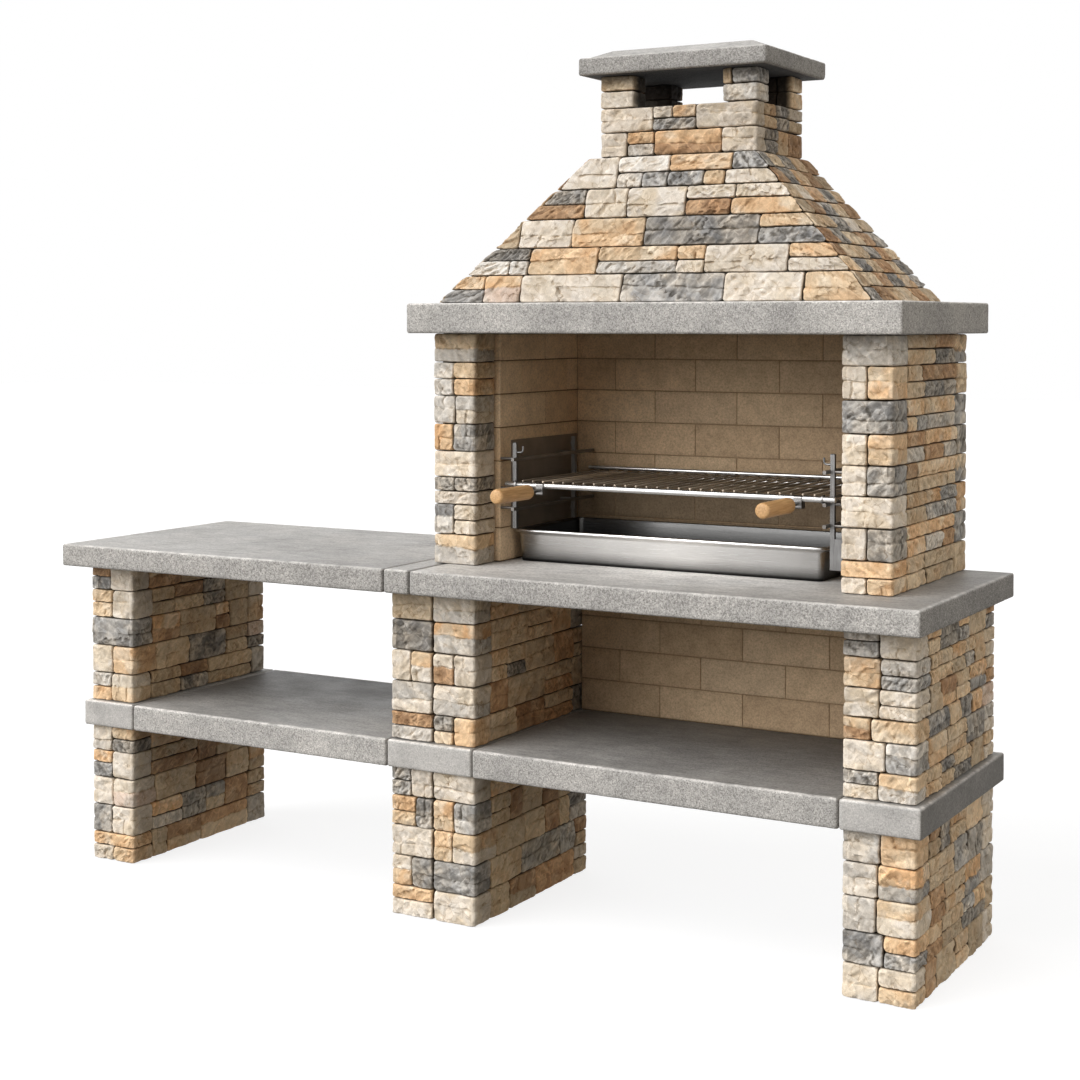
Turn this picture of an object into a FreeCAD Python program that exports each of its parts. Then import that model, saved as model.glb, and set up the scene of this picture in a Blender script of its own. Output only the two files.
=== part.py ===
import FreeCAD, Part
import math
import os

# Masonry barbecue with a side table: stone legs, concrete shelves and tops, a
# brick-lined firebox under a stone hood and chimney, a loose grill and pan.
# Millimetres, +Z up. The layout below is drawn with x = 0 at the right face of
# the middle legs, y = 0 at the front edge of the tops and z = 0 on the ground;
# every piece is moved by SHIFT on export, so that the origin is the middle of
# the object's footprint, on the ground.

os.makedirs("parts", exist_ok=True)

# ---------------------------------------------------------------- dimensions
# heights
LEG_LOWER_TOP = 359.0
BAND_TOP = 424.0
LEG_UPPER_TOP = 784.0
TOP_Z = 840.0
PILLAR_TOP = 1395.0
LINTEL_TOP = 1466.0
HOOD_TOP = 1805.0
STACK_TOP = 1920.0
POST_TOP = 1996.0
CAP_EDGE_TOP = 2036.0
CAP_CROWN_TOP = 2056.0

# legs, in plan
LEG_Y0, LEG_Y1 = 70.0, 630.0
LEFT_LEG = (-1197.0, -1050.0)
MID_LEFT_LEG = (-241.0, -121.0)
MID_RIGHT_LEG = (-120.0, 0.0)
RIGHT_LEG = (901.0, 1069.0)
LOWER_COURSES = 5
UPPER_COURSES = 5
RIGHT_UPPER_COURSES = 6

# bands, shelves and tops
BAND_Y0, BAND_Y1 = 53.0, 652.0
LEFT_BAND = (-1205.0, -1036.0)
TABLE_SHELF = (-1035.5, -239.0)
MIDDLE_BAND = (-238.5, 0.0)
MAIN_SHELF = (0.5, 902.0)
RIGHT_BAND = (902.5, 1084.0)
TOP_Y0, TOP_Y1 = 0.0, 675.0
TABLE_TOP = (-1230.0, -213.0)
INFILL = (-212.0, -140.0)
MAIN_TOP = (-139.0, 1098.0)
SLAB_ROUND = 3.0

# firebox
LEFT_PILLAR = (-171.0, -49.0)
RIGHT_PILLAR = (865.0, 987.0)
PILLAR_Y0, PILLAR_Y1 = 150.0, 675.0
PILLAR_COURSES = 8
RETURN_Y1 = 247.0
BRICK_T = 22.0
LINING_PROUD = 12.0
BRICK_H = 77.0
BRICK_L = 222.0
JOINT = 4.0
MORTAR_T = 4.0
FIREBOX_BACK_Y = 635.0
LOWER_BACK_Y = 590.0

# lintel ring
LINTEL_X = (-205.0, 1027.0)
LINTEL_Y = (88.0, 700.0)
LINTEL_HOLE_X = (-20.0, 836.0)
LINTEL_HOLE_Y = (205.0, 520.0)

# hood
HOOD_BASE_X = (-150.0, 952.0)
HOOD_BASE_Y = (135.0, 590.0)
HOOD_TOP_X = (206.0, 636.0)
HOOD_TOP_Y = (243.0, 547.0)
HOOD_WALL = 60.0
HOOD_COURSES = 5

# chimney
STACK_X = (224.0, 628.0)
STACK_Y = (261.0, 539.0)
STACK_WALL = 55.0
CHIM_POST = (92.0, 76.0)
CAP_X = (190.0, 666.0)
CAP_Y = (220.0, 581.0)

# charcoal pan
PAN_X = (-30.0, 785.0)
PAN_Y = (285.0, 622.0)
PAN_TOP = 919.0
PAN_RIM_W = 10.0
PAN_RIM_H = 8.0
PAN_SHEET = 2.0
PAN_DRAFT = 8.0
PAN_CORNER = 18.0

# racks
PLATE_T = 3.0
PLATE_Y = (298.0, 628.0)
PLATE_Z = (918.0, 1134.0)
POST = 10.0
FRONT_POST_Y = 252.0
REAR_POST_Y = 545.0
POST_Z = (925.0, 1132.0)
POST_X_OFF = 40.0
RUNG = 8.0
RUNG_TOPS = (977.0, 1024.7, 1096.0)
RUNG_Y = (222.0, 630.0)

# grill
RAIL_R = 7.0
REAR_RAIL_R = 6.0
BACK_RAIL_R = 5.0
RAIL_Y = 232.0
RAIL_Z = 1032.0
RAIL_X = (-12.0, 828.0)
REAR_RAIL_Y = 612.0
BAR_R = 2.5
BAR_COUNT = 28
HANDLE_X = (86.0, 742.0)
HANDLE_Z = 1022.0
GRIP_R = 17.5
GRIP_L = 150.0
GRIP_Y0 = 22.0
SHANK_R = 5.0

SHIFT = FreeCAD.Vector(66.0, -350.0, 0.0)
MID_X = 0.5 * (LEFT_PILLAR[1] + RIGHT_PILLAR[0])
V = FreeCAD.Vector


# ------------------------------------------------------------------- helpers
def box(x, y, z):
    return Part.makeBox(x[1] - x[0], y[1] - y[0], z[1] - z[0], V(x[0], y[0], z[0]))


def rounded(shape, radius):
    return shape.makeFillet(radius, shape.Edges)


def rod(p, q, r):
    d = V(*q) - V(*p)
    return Part.makeCylinder(r, d.Length, V(*p), d)


def rod_soft(p, q, r, c):
    """A rod with both end edges chamfered."""
    s = rod(p, q, r)
    rings = [e for e in s.Edges if isinstance(e.Curve, Part.Circle)]
    return s.makeChamfer(c, rings)


def mirror_x(shape):
    return shape.mirror(V(MID_X, 0, 0), V(1, 0, 0))


def hexa(bottom, top):
    """A closed solid from two four-cornered rings, each counter-clockwise seen from above."""
    b = [V(*p) for p in bottom]
    t = [V(*p) for p in top]
    faces = [Part.Face(Part.makePolygon(b + [b[0]])), Part.Face(Part.makePolygon(t + [t[0]]))]
    for i in range(4):
        j = (i + 1) % 4
        faces.append(Part.Face(Part.makePolygon([b[i], b[j], t[j], t[i], b[i]])))
    s = Part.Solid(Part.Shell(faces))
    if s.Volume < 0:
        s.reverse()
    return s


def rounded_rect(x, y, z, r):
    x0, x1 = x
    y0, y1 = y
    k = r * (1 - math.sqrt(0.5))
    pts = [
        (x0 + r, y0), (x1 - r, y0), (x1 - k, y0 + k), (x1, y0 + r), (x1, y1 - r), (x1 - k, y1 - k),
        (x1 - r, y1), (x0 + r, y1), (x0 + k, y1 - k), (x0, y1 - r), (x0, y0 + r), (x0 + k, y0 + k),
    ]
    p = [V(a, b, z) for a, b in pts]
    e = []
    for i in range(0, 12, 3):
        e.append(Part.LineSegment(p[i], p[i + 1]).toShape())
        e.append(Part.Arc(p[i + 1], p[i + 2], p[(i + 3) % 12]).toShape())
    return Part.Wire(e)


def rounded_prism(x, y, z0, z1, r):
    return Part.Face(rounded_rect(x, y, z0, r)).extrude(V(0, 0, z1 - z0))


def shrink(span, d):
    return (span[0] + d, span[1] - d)


nodes = {}


def put(name, shapes):
    if not isinstance(shapes, (list, tuple)):
        shapes = [shapes]
    solids = []
    for s in shapes:
        solids.extend(s.Solids)
    nodes[name] = solids


# ----------------------------------------------------------------- stone legs
def courses(z0, z1, n):
    h = (z1 - z0) / n
    return [(z0 + i * h, z0 + (i + 1) * h) for i in range(n)]


def leg(x, z0, z1, n):
    return [box(x, (LEG_Y0, LEG_Y1), z) for z in courses(z0, z1, n)]


for leg_name, leg_x, upper_n in (
    ("left_leg", LEFT_LEG, UPPER_COURSES),
    ("middle_left_leg", MID_LEFT_LEG, UPPER_COURSES),
    ("middle_right_leg", MID_RIGHT_LEG, UPPER_COURSES),
    ("right_leg", RIGHT_LEG, RIGHT_UPPER_COURSES),
):
    put(leg_name + "_lower", leg(leg_x, 0.0, LEG_LOWER_TOP, LOWER_COURSES))
    put(leg_name + "_upper", leg(leg_x, BAND_TOP, LEG_UPPER_TOP, upper_n))

# ------------------------------------------------------ concrete bands and tops
for slab_name, slab_x in (
    ("left_band", LEFT_BAND),
    ("table_shelf", TABLE_SHELF),
    ("middle_band", MIDDLE_BAND),
    ("main_shelf", MAIN_SHELF),
    ("right_band", RIGHT_BAND),
):
    put(slab_name, rounded(box(slab_x, (BAND_Y0, BAND_Y1), (LEG_LOWER_TOP, BAND_TOP)), SLAB_ROUND))
for slab_name, slab_x in (
    ("table_top", TABLE_TOP),
    ("worktop_infill", INFILL),
    ("main_worktop", MAIN_TOP),
):
    put(slab_name, rounded(box(slab_x, (TOP_Y0, TOP_Y1), (LEG_UPPER_TOP, TOP_Z)), SLAB_ROUND))


# -------------------------------------------------------------- brick linings
def brick_wall(a0, a1, z0, z1, make, first_shift):
    """Bricks in running bond over a wall from a0 to a1 along its length, from z0 up to z1."""
    out = []
    row = 0
    z = z0
    while z < z1 - 8.0:
        top = min(z + BRICK_H, z1)
        a = a0 - (first_shift if row % 2 else 0.0)
        while a < a1 - 1.0:
            lo, hi = max(a, a0), min(a + BRICK_L, a1)
            if hi - lo > 8.0:
                out.append(make((lo, hi), (z, top)))
            a += BRICK_L + JOINT
        z = top + JOINT
        row += 1
    return out


# lower back wall of the main module, between the legs
lower_gap = (MID_RIGHT_LEG[1] + 0.5, RIGHT_LEG[0] - 0.5)
lower_z = (BAND_TOP, LEG_UPPER_TOP)
put(
    "lower_back_bricks",
    brick_wall(
        lower_gap[0], lower_gap[1], lower_z[0] + JOINT, lower_z[1] - JOINT,
        lambda a, z: box(a, (LOWER_BACK_Y, LOWER_BACK_Y + BRICK_T), z), 0.5 * (BRICK_L + JOINT),
    ),
)
put("lower_back_mortar", box(lower_gap, (LOWER_BACK_Y + BRICK_T, LOWER_BACK_Y + BRICK_T + MORTAR_T), lower_z))
put("lower_back_panel", box(lower_gap, (LOWER_BACK_Y + BRICK_T + MORTAR_T, LEG_Y1), lower_z))


# pillars: each course is a front block as wide as the pillar and a rear block
# that leaves room for the lining
def left_pillar_blocks():
    out = []
    lining_back = LEFT_PILLAR[1] + LINING_PROUD - BRICK_T - MORTAR_T
    for z in courses(TOP_Z, PILLAR_TOP, PILLAR_COURSES):
        out.append(box(LEFT_PILLAR, (PILLAR_Y0, RETURN_Y1), z))
        out.append(box((LEFT_PILLAR[0], lining_back), (RETURN_Y1, PILLAR_Y1), z))
    return out


left_blocks = left_pillar_blocks()
put("left_pillar", left_blocks)
put("right_pillar", [mirror_x(s) for s in left_blocks])

lining_face = LEFT_PILLAR[1] + LINING_PROUD
lining_x = (lining_face - BRICK_T, lining_face)
back_panel_y = (FIREBOX_BACK_Y + BRICK_T + MORTAR_T, PILLAR_Y1)
side_wall_y = (RETURN_Y1, FIREBOX_BACK_Y + BRICK_T)
back_x = (lining_face + 0.5, 2 * MID_X - lining_face - 0.5)
panel_x = (lining_x[0] - MORTAR_T, 2 * MID_X - lining_x[0] + MORTAR_T)
firebox_z = (TOP_Z, PILLAR_TOP)

# racks: wall screw positions, needed for the holes in plates and bricks
SCREWS = [(y, z) for y in (PLATE_Y[0] + 28.0, PLATE_Y[1] - 28.0) for z in (PLATE_Z[0] + 26.0, PLATE_Z[1] - 24.0)]
SCREW_R = 3.0
SCREW_HOLE_R = 3.05
SCREW_DEPTH = 18.0

left_bricks = brick_wall(
    side_wall_y[0], side_wall_y[1], firebox_z[0] + JOINT, firebox_z[1] - JOINT,
    lambda a, z: box(lining_x, a, z), 0.5 * (BRICK_L + JOINT),
)
screw_holes = [rod((lining_face + 1, y, z), (lining_face - SCREW_DEPTH - 1.0, y, z), SCREW_HOLE_R) for y, z in SCREWS]
drilled = []
for b in left_bricks:
    for h in screw_holes:
        if b.common(h).Volume > 1.0:
            b = b.cut(h)
    drilled.append(b)
put("left_lining_bricks", drilled)
put("right_lining_bricks", [mirror_x(s) for s in drilled])
left_bed = box((lining_x[0] - MORTAR_T, lining_x[0]), side_wall_y, firebox_z)
put("side_lining_mortar", [left_bed, mirror_x(left_bed)])
put(
    "back_lining_bricks",
    brick_wall(
        back_x[0], back_x[1], firebox_z[0] + JOINT, firebox_z[1] - JOINT,
        lambda a, z: box(a, (FIREBOX_BACK_Y, FIREBOX_BACK_Y + BRICK_T), z), 0.5 * (BRICK_L + JOINT),
    ),
)
put("back_lining_mortar", box(panel_x, (FIREBOX_BACK_Y + BRICK_T, FIREBOX_BACK_Y + BRICK_T + MORTAR_T), firebox_z))
put("firebox_back_panel", box(panel_x, back_panel_y, firebox_z))

# ---------------------------------------------------------------- lintel ring
ring = box(LINTEL_X, LINTEL_Y, (PILLAR_TOP, LINTEL_TOP)).cut(
    box(LINTEL_HOLE_X, LINTEL_HOLE_Y, (PILLAR_TOP - 5, LINTEL_TOP + 5))
)
outer = []
for e in ring.Edges:
    c = e.BoundBox
    on_x = abs(c.XMin - LINTEL_X[0]) < 0.01 and abs(c.XMax - LINTEL_X[0]) < 0.01
    on_x = on_x or (abs(c.XMin - LINTEL_X[1]) < 0.01 and abs(c.XMax - LINTEL_X[1]) < 0.01)
    on_y = abs(c.YMin - LINTEL_Y[0]) < 0.01 and abs(c.YMax - LINTEL_Y[0]) < 0.01
    on_y = on_y or (abs(c.YMin - LINTEL_Y[1]) < 0.01 and abs(c.YMax - LINTEL_Y[1]) < 0.01)
    if on_x or on_y:
        outer.append(e)
put("lintel_slab", ring.makeFillet(SLAB_ROUND, outer))


# ----------------------------------------------------------------------- hood
def hood_ring(z, inset):
    """The four plan corners of the hood's outside (or inside, with an inset) at a height."""
    t = (z - LINTEL_TOP) / (HOOD_TOP - LINTEL_TOP)
    x0 = HOOD_BASE_X[0] + t * (HOOD_TOP_X[0] - HOOD_BASE_X[0]) + inset
    x1 = HOOD_BASE_X[1] + t * (HOOD_TOP_X[1] - HOOD_BASE_X[1]) - inset
    y0 = HOOD_BASE_Y[0] + t * (HOOD_TOP_Y[0] - HOOD_BASE_Y[0]) + inset
    y1 = HOOD_BASE_Y[1] + t * (HOOD_TOP_Y[1] - HOOD_BASE_Y[1]) - inset
    return [(x0, y0, z), (x1, y0, z), (x1, y1, z), (x0, y1, z)]


def hood_panel(i):
    """One side of the hood, mitred at its corners, as courses. i: 0 front, 1 right, 2 rear, 3 left."""
    j = (i + 1) % 4
    out = []
    for z0, z1 in courses(LINTEL_TOP, HOOD_TOP, HOOD_COURSES):
        ob, ib = hood_ring(z0, 0.0), hood_ring(z0, HOOD_WALL)
        ot, it = hood_ring(z1, 0.0), hood_ring(z1, HOOD_WALL)
        out.append(hexa([ob[i], ob[j], ib[j], ib[i]], [ot[i], ot[j], it[j], it[i]]))
    return out


for i, side in enumerate(("front", "right", "rear", "left")):
    put("hood_" + side, hood_panel(i))

# -------------------------------------------------------------------- chimney
stack = []
for k, z in enumerate(courses(HOOD_TOP, STACK_TOP, 2)):
    xa, xb = STACK_X
    ya, yb = STACK_Y
    w = STACK_WALL
    stack += [
        box((xa, xb), (ya, ya + w), z),
        box((xa, xb), (yb - w, yb), z),
        box((xa, xa + w), (ya + w, yb - w), z),
        box((xb - w, xb), (ya + w, yb - w), z),
    ]
put("chimney_stack", stack)
px, py = CHIM_POST
for name, cy in (("front", STACK_Y[0]), ("rear", STACK_Y[1] - py)):
    pair = []
    for cx in (STACK_X[0], STACK_X[1] - px):
        pair += [box((cx, cx + px), (cy, cy + py), z) for z in courses(STACK_TOP, POST_TOP, 2)]
    put("chimney_posts_" + name, pair)

cap_slab = box(CAP_X, CAP_Y, (POST_TOP, CAP_EDGE_TOP))
crown_in = 60.0
crown = hexa(
    [(CAP_X[0], CAP_Y[0], CAP_EDGE_TOP), (CAP_X[1], CAP_Y[0], CAP_EDGE_TOP),
     (CAP_X[1], CAP_Y[1], CAP_EDGE_TOP), (CAP_X[0], CAP_Y[1], CAP_EDGE_TOP)],
    [(CAP_X[0] + crown_in, CAP_Y[0] + crown_in, CAP_CROWN_TOP), (CAP_X[1] - crown_in, CAP_Y[0] + crown_in, CAP_CROWN_TOP),
     (CAP_X[1] - crown_in, CAP_Y[1] - crown_in, CAP_CROWN_TOP), (CAP_X[0] + crown_in, CAP_Y[1] - crown_in, CAP_CROWN_TOP)],
)
put("chimney_cap", cap_slab.fuse(crown).removeSplitter())

# --------------------------------------------------------------- charcoal pan
def pan_loft(extra, z0, z1, corner):
    """The pan's tapered body, `extra` millimetres inside its outer face, from z0 to z1."""
    full = PAN_TOP - TOP_Z
    rings = []
    for z in (z0, z1):
        t = (PAN_TOP - z) / full
        d = PAN_RIM_W + PAN_DRAFT * t + extra
        rings.append(rounded_rect(shrink(PAN_X, d), shrink(PAN_Y, d), z, corner - extra))
    return Part.makeLoft(rings, True, True)


pan_body = pan_loft(0.0, TOP_Z + 0.2, PAN_TOP - 0.5 * PAN_RIM_H, PAN_CORNER)
rim = rounded_prism(PAN_X, PAN_Y, PAN_TOP - PAN_RIM_H, PAN_TOP, PAN_CORNER + PAN_RIM_W)
rim_edges = [e for e in rim.Edges if abs(e.BoundBox.ZMax - e.BoundBox.ZMin) < 0.01]
rim = rim.makeFillet(0.45 * PAN_RIM_H, rim_edges)
hollow = pan_loft(PAN_SHEET, TOP_Z + 0.2 + PAN_SHEET, PAN_TOP + 5.0, PAN_CORNER)
put("charcoal_pan", pan_body.fuse(rim).cut(hollow).removeSplitter())

# ---------------------------------------------------------------------- racks
post_x = (lining_face + POST_X_OFF - 0.5 * POST, lining_face + POST_X_OFF + 0.5 * POST)
plate_x = (lining_face, lining_face + PLATE_T)
plate = box(plate_x, PLATE_Y, PLATE_Z)
for y, z in SCREWS:
    plate = plate.cut(rod((plate_x[0] - 1, y, z), (plate_x[1] + 1, y, z), SCREW_HOLE_R))
posts = []
for y in (FRONT_POST_Y, REAR_POST_Y):
    p = box(post_x, (y - 0.5 * POST, y + 0.5 * POST), POST_Z)
    posts.append(p.makeChamfer(1.5, [e for e in p.Edges if abs(e.BoundBox.ZMin - POST_Z[1]) < 0.01]))
rungs = []
offs = []
for top in RUNG_TOPS:
    r = box((post_x[1], post_x[1] + RUNG), RUNG_Y, (top - RUNG, top))
    rungs.append(r.makeChamfer(1.0, [e for e in r.Edges if e.BoundBox.YMax - e.BoundBox.YMin > 100]))
    for y in (FRONT_POST_Y, REAR_POST_Y):
        foot = lining_face if y < PLATE_Y[0] else plate_x[1]
        offs.append(rod((foot, y, top - 0.5 * RUNG), (post_x[0], y, top - 0.5 * RUNG), 3.5))
hook_z = RUNG_TOPS[2] + 12.0
hook_r = 2.5
bend = 7.0
hx = post_x[1]
hook_path = Part.Wire(
    [
        Part.LineSegment(V(hx, FRONT_POST_Y, hook_z), V(hx + 9, FRONT_POST_Y, hook_z)).toShape(),
        Part.Arc(
            V(hx + 9, FRONT_POST_Y, hook_z),
            V(hx + 9 + bend * math.sin(math.pi / 4), FRONT_POST_Y, hook_z + bend * (1 - math.cos(math.pi / 4))),
            V(hx + 9 + bend, FRONT_POST_Y, hook_z + bend),
        ).toShape(),
        Part.LineSegment(V(hx + 9 + bend, FRONT_POST_Y, hook_z + bend), V(hx + 9 + bend, FRONT_POST_Y, hook_z + bend + 8)).toShape(),
    ]
)
hook_section = Part.Wire([Part.makeCircle(hook_r, V(hx, FRONT_POST_Y, hook_z), V(1, 0, 0))])
hook = hook_path.makePipeShell([hook_section], True, False)
screws = []
for y, z in SCREWS:
    head = Part.makeCylinder(6.0, 3.2, V(plate_x[1], y, z), V(1, 0, 0))
    head = head.makeFillet(1.8, [e for e in head.Edges if isinstance(e.Curve, Part.Circle) and e.BoundBox.XMin > plate_x[1] + 3.0])
    shank = rod((plate_x[1], y, z), (lining_face - SCREW_DEPTH, y, z), SCREW_R)
    screws.append(head.fuse(shank).removeSplitter())

put("left_rack_plate", plate)
put("left_rack_posts", posts)
put("left_rack_rungs", rungs)
put("right_rack_plate", mirror_x(plate))
put("right_rack_posts", [mirror_x(s) for s in posts])
put("right_rack_rungs", [mirror_x(s) for s in rungs])
put("rack_hooks", [hook, mirror_x(hook)])
put("rack_standoffs", offs + [mirror_x(s) for s in offs])
put("rack_screws", screws + [mirror_x(s) for s in screws])
right_post_x = (2 * MID_X - post_x[1], 2 * MID_X - post_x[0])
front_face = FRONT_POST_Y - 0.5 * POST
put("right_rack_drop_plate", box((right_post_x[0] + 1, right_post_x[1] + 20), (front_face - 3.0, front_face), (876.0, 945.0)))

# ---------------------------------------------------------------------- grill
put("grill_front_rail", rod_soft((RAIL_X[0], RAIL_Y, RAIL_Z), (RAIL_X[1], RAIL_Y, RAIL_Z), RAIL_R, 1.5))
rear_x = (post_x[1] + 2.5, 2 * MID_X - post_x[1] - 2.5)
rear_z = RUNG_TOPS[1] + 0.3 + REAR_RAIL_R
put("grill_rear_rail", rod_soft((rear_x[0], REAR_RAIL_Y, rear_z), (rear_x[1], REAR_RAIL_Y, rear_z), REAR_RAIL_R, 1.0))
back_rail_z = RAIL_Z + RAIL_R + 2 * BAR_R + 0.1 + BACK_RAIL_R
put(
    "grill_back_rail",
    rod_soft((rear_x[0], REAR_RAIL_Y, back_rail_z), (rear_x[1], REAR_RAIL_Y, back_rail_z), BACK_RAIL_R, 1.0),
)
side_x = (post_x[1] + RUNG + 9.0, 2 * MID_X - post_x[1] - RUNG - 9.0)
side_r = 4.0
put(
    "grill_side_bars",
    [rod((x, RAIL_Y + RAIL_R + 0.05, RAIL_Z), (x, REAR_RAIL_Y - REAR_RAIL_R - 0.05, RAIL_Z), side_r) for x in side_x],
)
bar_z = RAIL_Z + RAIL_R + BAR_R + 0.05
cross_y = 0.5 * (RAIL_Y + REAR_RAIL_Y)
cross_r = 3.0
put(
    "grill_cross_rod",
    rod((side_x[0] + side_r + 0.05, cross_y, bar_z - BAR_R - cross_r - 0.05), (side_x[1] - side_r - 0.05, cross_y, bar_z - BAR_R - cross_r - 0.05), cross_r),
)
bar_span = (side_x[0] + 12.0, side_x[1] - 12.0)
bars = []
for i in range(BAR_COUNT):
    x = bar_span[0] + (bar_span[1] - bar_span[0]) * i / (BAR_COUNT - 1)
    bars.append(rod_soft((x, RAIL_Y - 4.0, bar_z), (x, REAR_RAIL_Y + 5.0, bar_z), BAR_R, 0.6))
put("grill_bars", bars)
collars = []
for x in (post_x[1] + RUNG + 2.0, 2 * MID_X - post_x[1] - RUNG - 2.0):
    ring_c = rod((x - 1.9, RAIL_Y, RAIL_Z), (x + 1.9, RAIL_Y, RAIL_Z), RAIL_R + 3.2).cut(
        rod((x - 3, RAIL_Y, RAIL_Z), (x + 3, RAIL_Y, RAIL_Z), RAIL_R + 0.04)
    )
    collars.append(ring_c)
put("grill_collars", collars)

for side, hx in zip(("left", "right"), HANDLE_X):
    block = box((hx - 9, hx + 9), (RAIL_Y - 10.5, RAIL_Y + 10.5), (HANDLE_Z - 12.0, RAIL_Z + 6.0))
    block = block.makeFillet(4.0, [e for e in block.Edges if abs(e.BoundBox.XMax - e.BoundBox.XMin) > 15])
    block = block.cut(rod((hx - 20, RAIL_Y, RAIL_Z), (hx + 20, RAIL_Y, RAIL_Z), RAIL_R + 0.04))
    put("grill_" + side + "_handle_bracket", block)
    shank_y1 = RAIL_Y - 10.5
    shank_y0 = GRIP_Y0 + GRIP_L - 70.0
    shank = rod((hx, shank_y0, HANDLE_Z), (hx, shank_y1, HANDLE_Z), SHANK_R)
    nut = rod((hx, GRIP_Y0 + GRIP_L + 0.3, HANDLE_Z), (hx, GRIP_Y0 + GRIP_L + 4.3, HANDLE_Z), 9.0)
    put("grill_" + side + "_handle_shank", shank.fuse(nut).removeSplitter())
    r, y0, y1 = GRIP_R, GRIP_Y0, GRIP_Y0 + GRIP_L
    e0, e1 = 5.0, 7.0
    prof = [
        Part.LineSegment(V(hx, y0, HANDLE_Z), V(hx, y0, HANDLE_Z + r - e0)).toShape(),
        Part.Arc(
            V(hx, y0, HANDLE_Z + r - e0),
            V(hx, y0 + e0 * (1 - math.sqrt(0.5)), HANDLE_Z + r - e0 * (1 - math.sqrt(0.5))),
            V(hx, y0 + e0, HANDLE_Z + r),
        ).toShape(),
        Part.LineSegment(V(hx, y0 + e0, HANDLE_Z + r), V(hx, y1 - e1, HANDLE_Z + r - 1.0)).toShape(),
        Part.Arc(
            V(hx, y1 - e1, HANDLE_Z + r - 1.0),
            V(hx, y1 - e1 * (1 - math.sqrt(0.5)), HANDLE_Z + r - 1.0 - e1 * (1 - math.sqrt(0.5))),
            V(hx, y1, HANDLE_Z + r - 1.0 - e1),
        ).toShape(),
        Part.LineSegment(V(hx, y1, HANDLE_Z + r - 1.0 - e1), V(hx, y1, HANDLE_Z)).toShape(),
        Part.LineSegment(V(hx, y1, HANDLE_Z), V(hx, y0, HANDLE_Z)).toShape(),
    ]
    grip = Part.Face(Part.Wire(prof)).revolve(V(hx, y0, HANDLE_Z), V(0, 1, 0), 360)
    if grip.Volume < 0:
        grip.reverse()
    grip = grip.cut(rod((hx, shank_y0 - 2.0, HANDLE_Z), (hx, y1 + 5, HANDLE_Z), SHANK_R + 0.04))
    put("grill_" + side + "_grip", grip)

# --------------------------------------------------------------------- export
low = [1e9] * 3
high = [-1e9] * 3
for name, solids in nodes.items():
    moved = []
    for s in solids:
        s = s.copy()
        s.translate(SHIFT)
        if not s.isValid() or s.Volume <= 0:
            print("BAD", name, s.isValid(), s.Volume)
        moved.append(s)
        b = s.BoundBox
        low = [min(a, c) for a, c in zip(low, (b.XMin, b.YMin, b.ZMin))]
        high = [max(a, c) for a, c in zip(high, (b.XMax, b.YMax, b.ZMax))]
    shape = moved[0] if len(moved) == 1 else Part.makeCompound(moved)
    shape.exportStep("parts/" + name + ".step")
print(len(nodes), "nodes", sum(len(s) for s in nodes.values()), "solids")
print("box", [round(v, 2) for v in low], [round(v, 2) for v in high])
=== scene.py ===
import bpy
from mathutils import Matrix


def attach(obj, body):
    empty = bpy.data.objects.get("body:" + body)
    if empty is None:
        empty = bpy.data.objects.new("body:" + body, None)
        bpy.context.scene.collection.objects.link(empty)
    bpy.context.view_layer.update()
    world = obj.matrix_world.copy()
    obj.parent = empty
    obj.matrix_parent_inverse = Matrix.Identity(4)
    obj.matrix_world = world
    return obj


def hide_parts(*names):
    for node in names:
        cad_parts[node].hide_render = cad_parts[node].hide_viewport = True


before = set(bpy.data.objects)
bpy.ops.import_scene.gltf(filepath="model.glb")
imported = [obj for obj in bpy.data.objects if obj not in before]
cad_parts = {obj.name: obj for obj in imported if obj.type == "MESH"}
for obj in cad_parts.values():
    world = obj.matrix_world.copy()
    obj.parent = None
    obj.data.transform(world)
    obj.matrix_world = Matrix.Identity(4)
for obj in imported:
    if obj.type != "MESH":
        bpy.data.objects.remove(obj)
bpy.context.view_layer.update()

import math

import bpy
import numpy as np
from mathutils import Vector

# ---------------------------------------------------------------------------
# Everything is laid out in millimetres with x = 0 at the right face of the
# middle legs, y = 0 at the worktop's front edge and z = 0 on the ground, then
# moved into the shared frame in metres.
SHIFT = np.array([66.0, -350.0, 0.0])
MID_X = 408.0


def to_frame(p):
    return (np.asarray(p, float) + SHIFT) / 1000.0


# ---------------------------------------------------------------------------
# noise
class Perlin:
    def __init__(self, seed):
        r = np.random.RandomState(seed)
        self.perm = np.concatenate([r.permutation(256)] * 3)
        g = r.normal(size=(256, 3))
        self.grad = g / np.linalg.norm(g, axis=1)[:, None]

    def __call__(self, p):
        i = np.floor(p).astype(int)
        f = p - i
        w = f * f * f * (f * (f * 6 - 15) + 10)
        i &= 255
        out = 0.0
        for dx in (0, 1):
            for dy in (0, 1):
                for dz in (0, 1):
                    h = self.perm[self.perm[self.perm[i[:, 0] + dx] + i[:, 1] + dy] + i[:, 2] + dz]
                    g = self.grad[h]
                    d = g[:, 0] * (f[:, 0] - dx) + g[:, 1] * (f[:, 1] - dy) + g[:, 2] * (f[:, 2] - dz)
                    wx = w[:, 0] if dx else 1 - w[:, 0]
                    wy = w[:, 1] if dy else 1 - w[:, 1]
                    wz = w[:, 2] if dz else 1 - w[:, 2]
                    out = out + d * wx * wy * wz
        return out * 1.5


NOISE = Perlin(11)


def smooth(a, b, x):
    t = np.clip((x - a) / (b - a), 0.0, 1.0)
    return t * t * (3 - 2 * t)


def lin(c):
    c = np.asarray(c, float) / 255.0
    return np.where(c <= 0.04045, c / 12.92, ((c + 0.055) / 1.055) ** 2.4)


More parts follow.
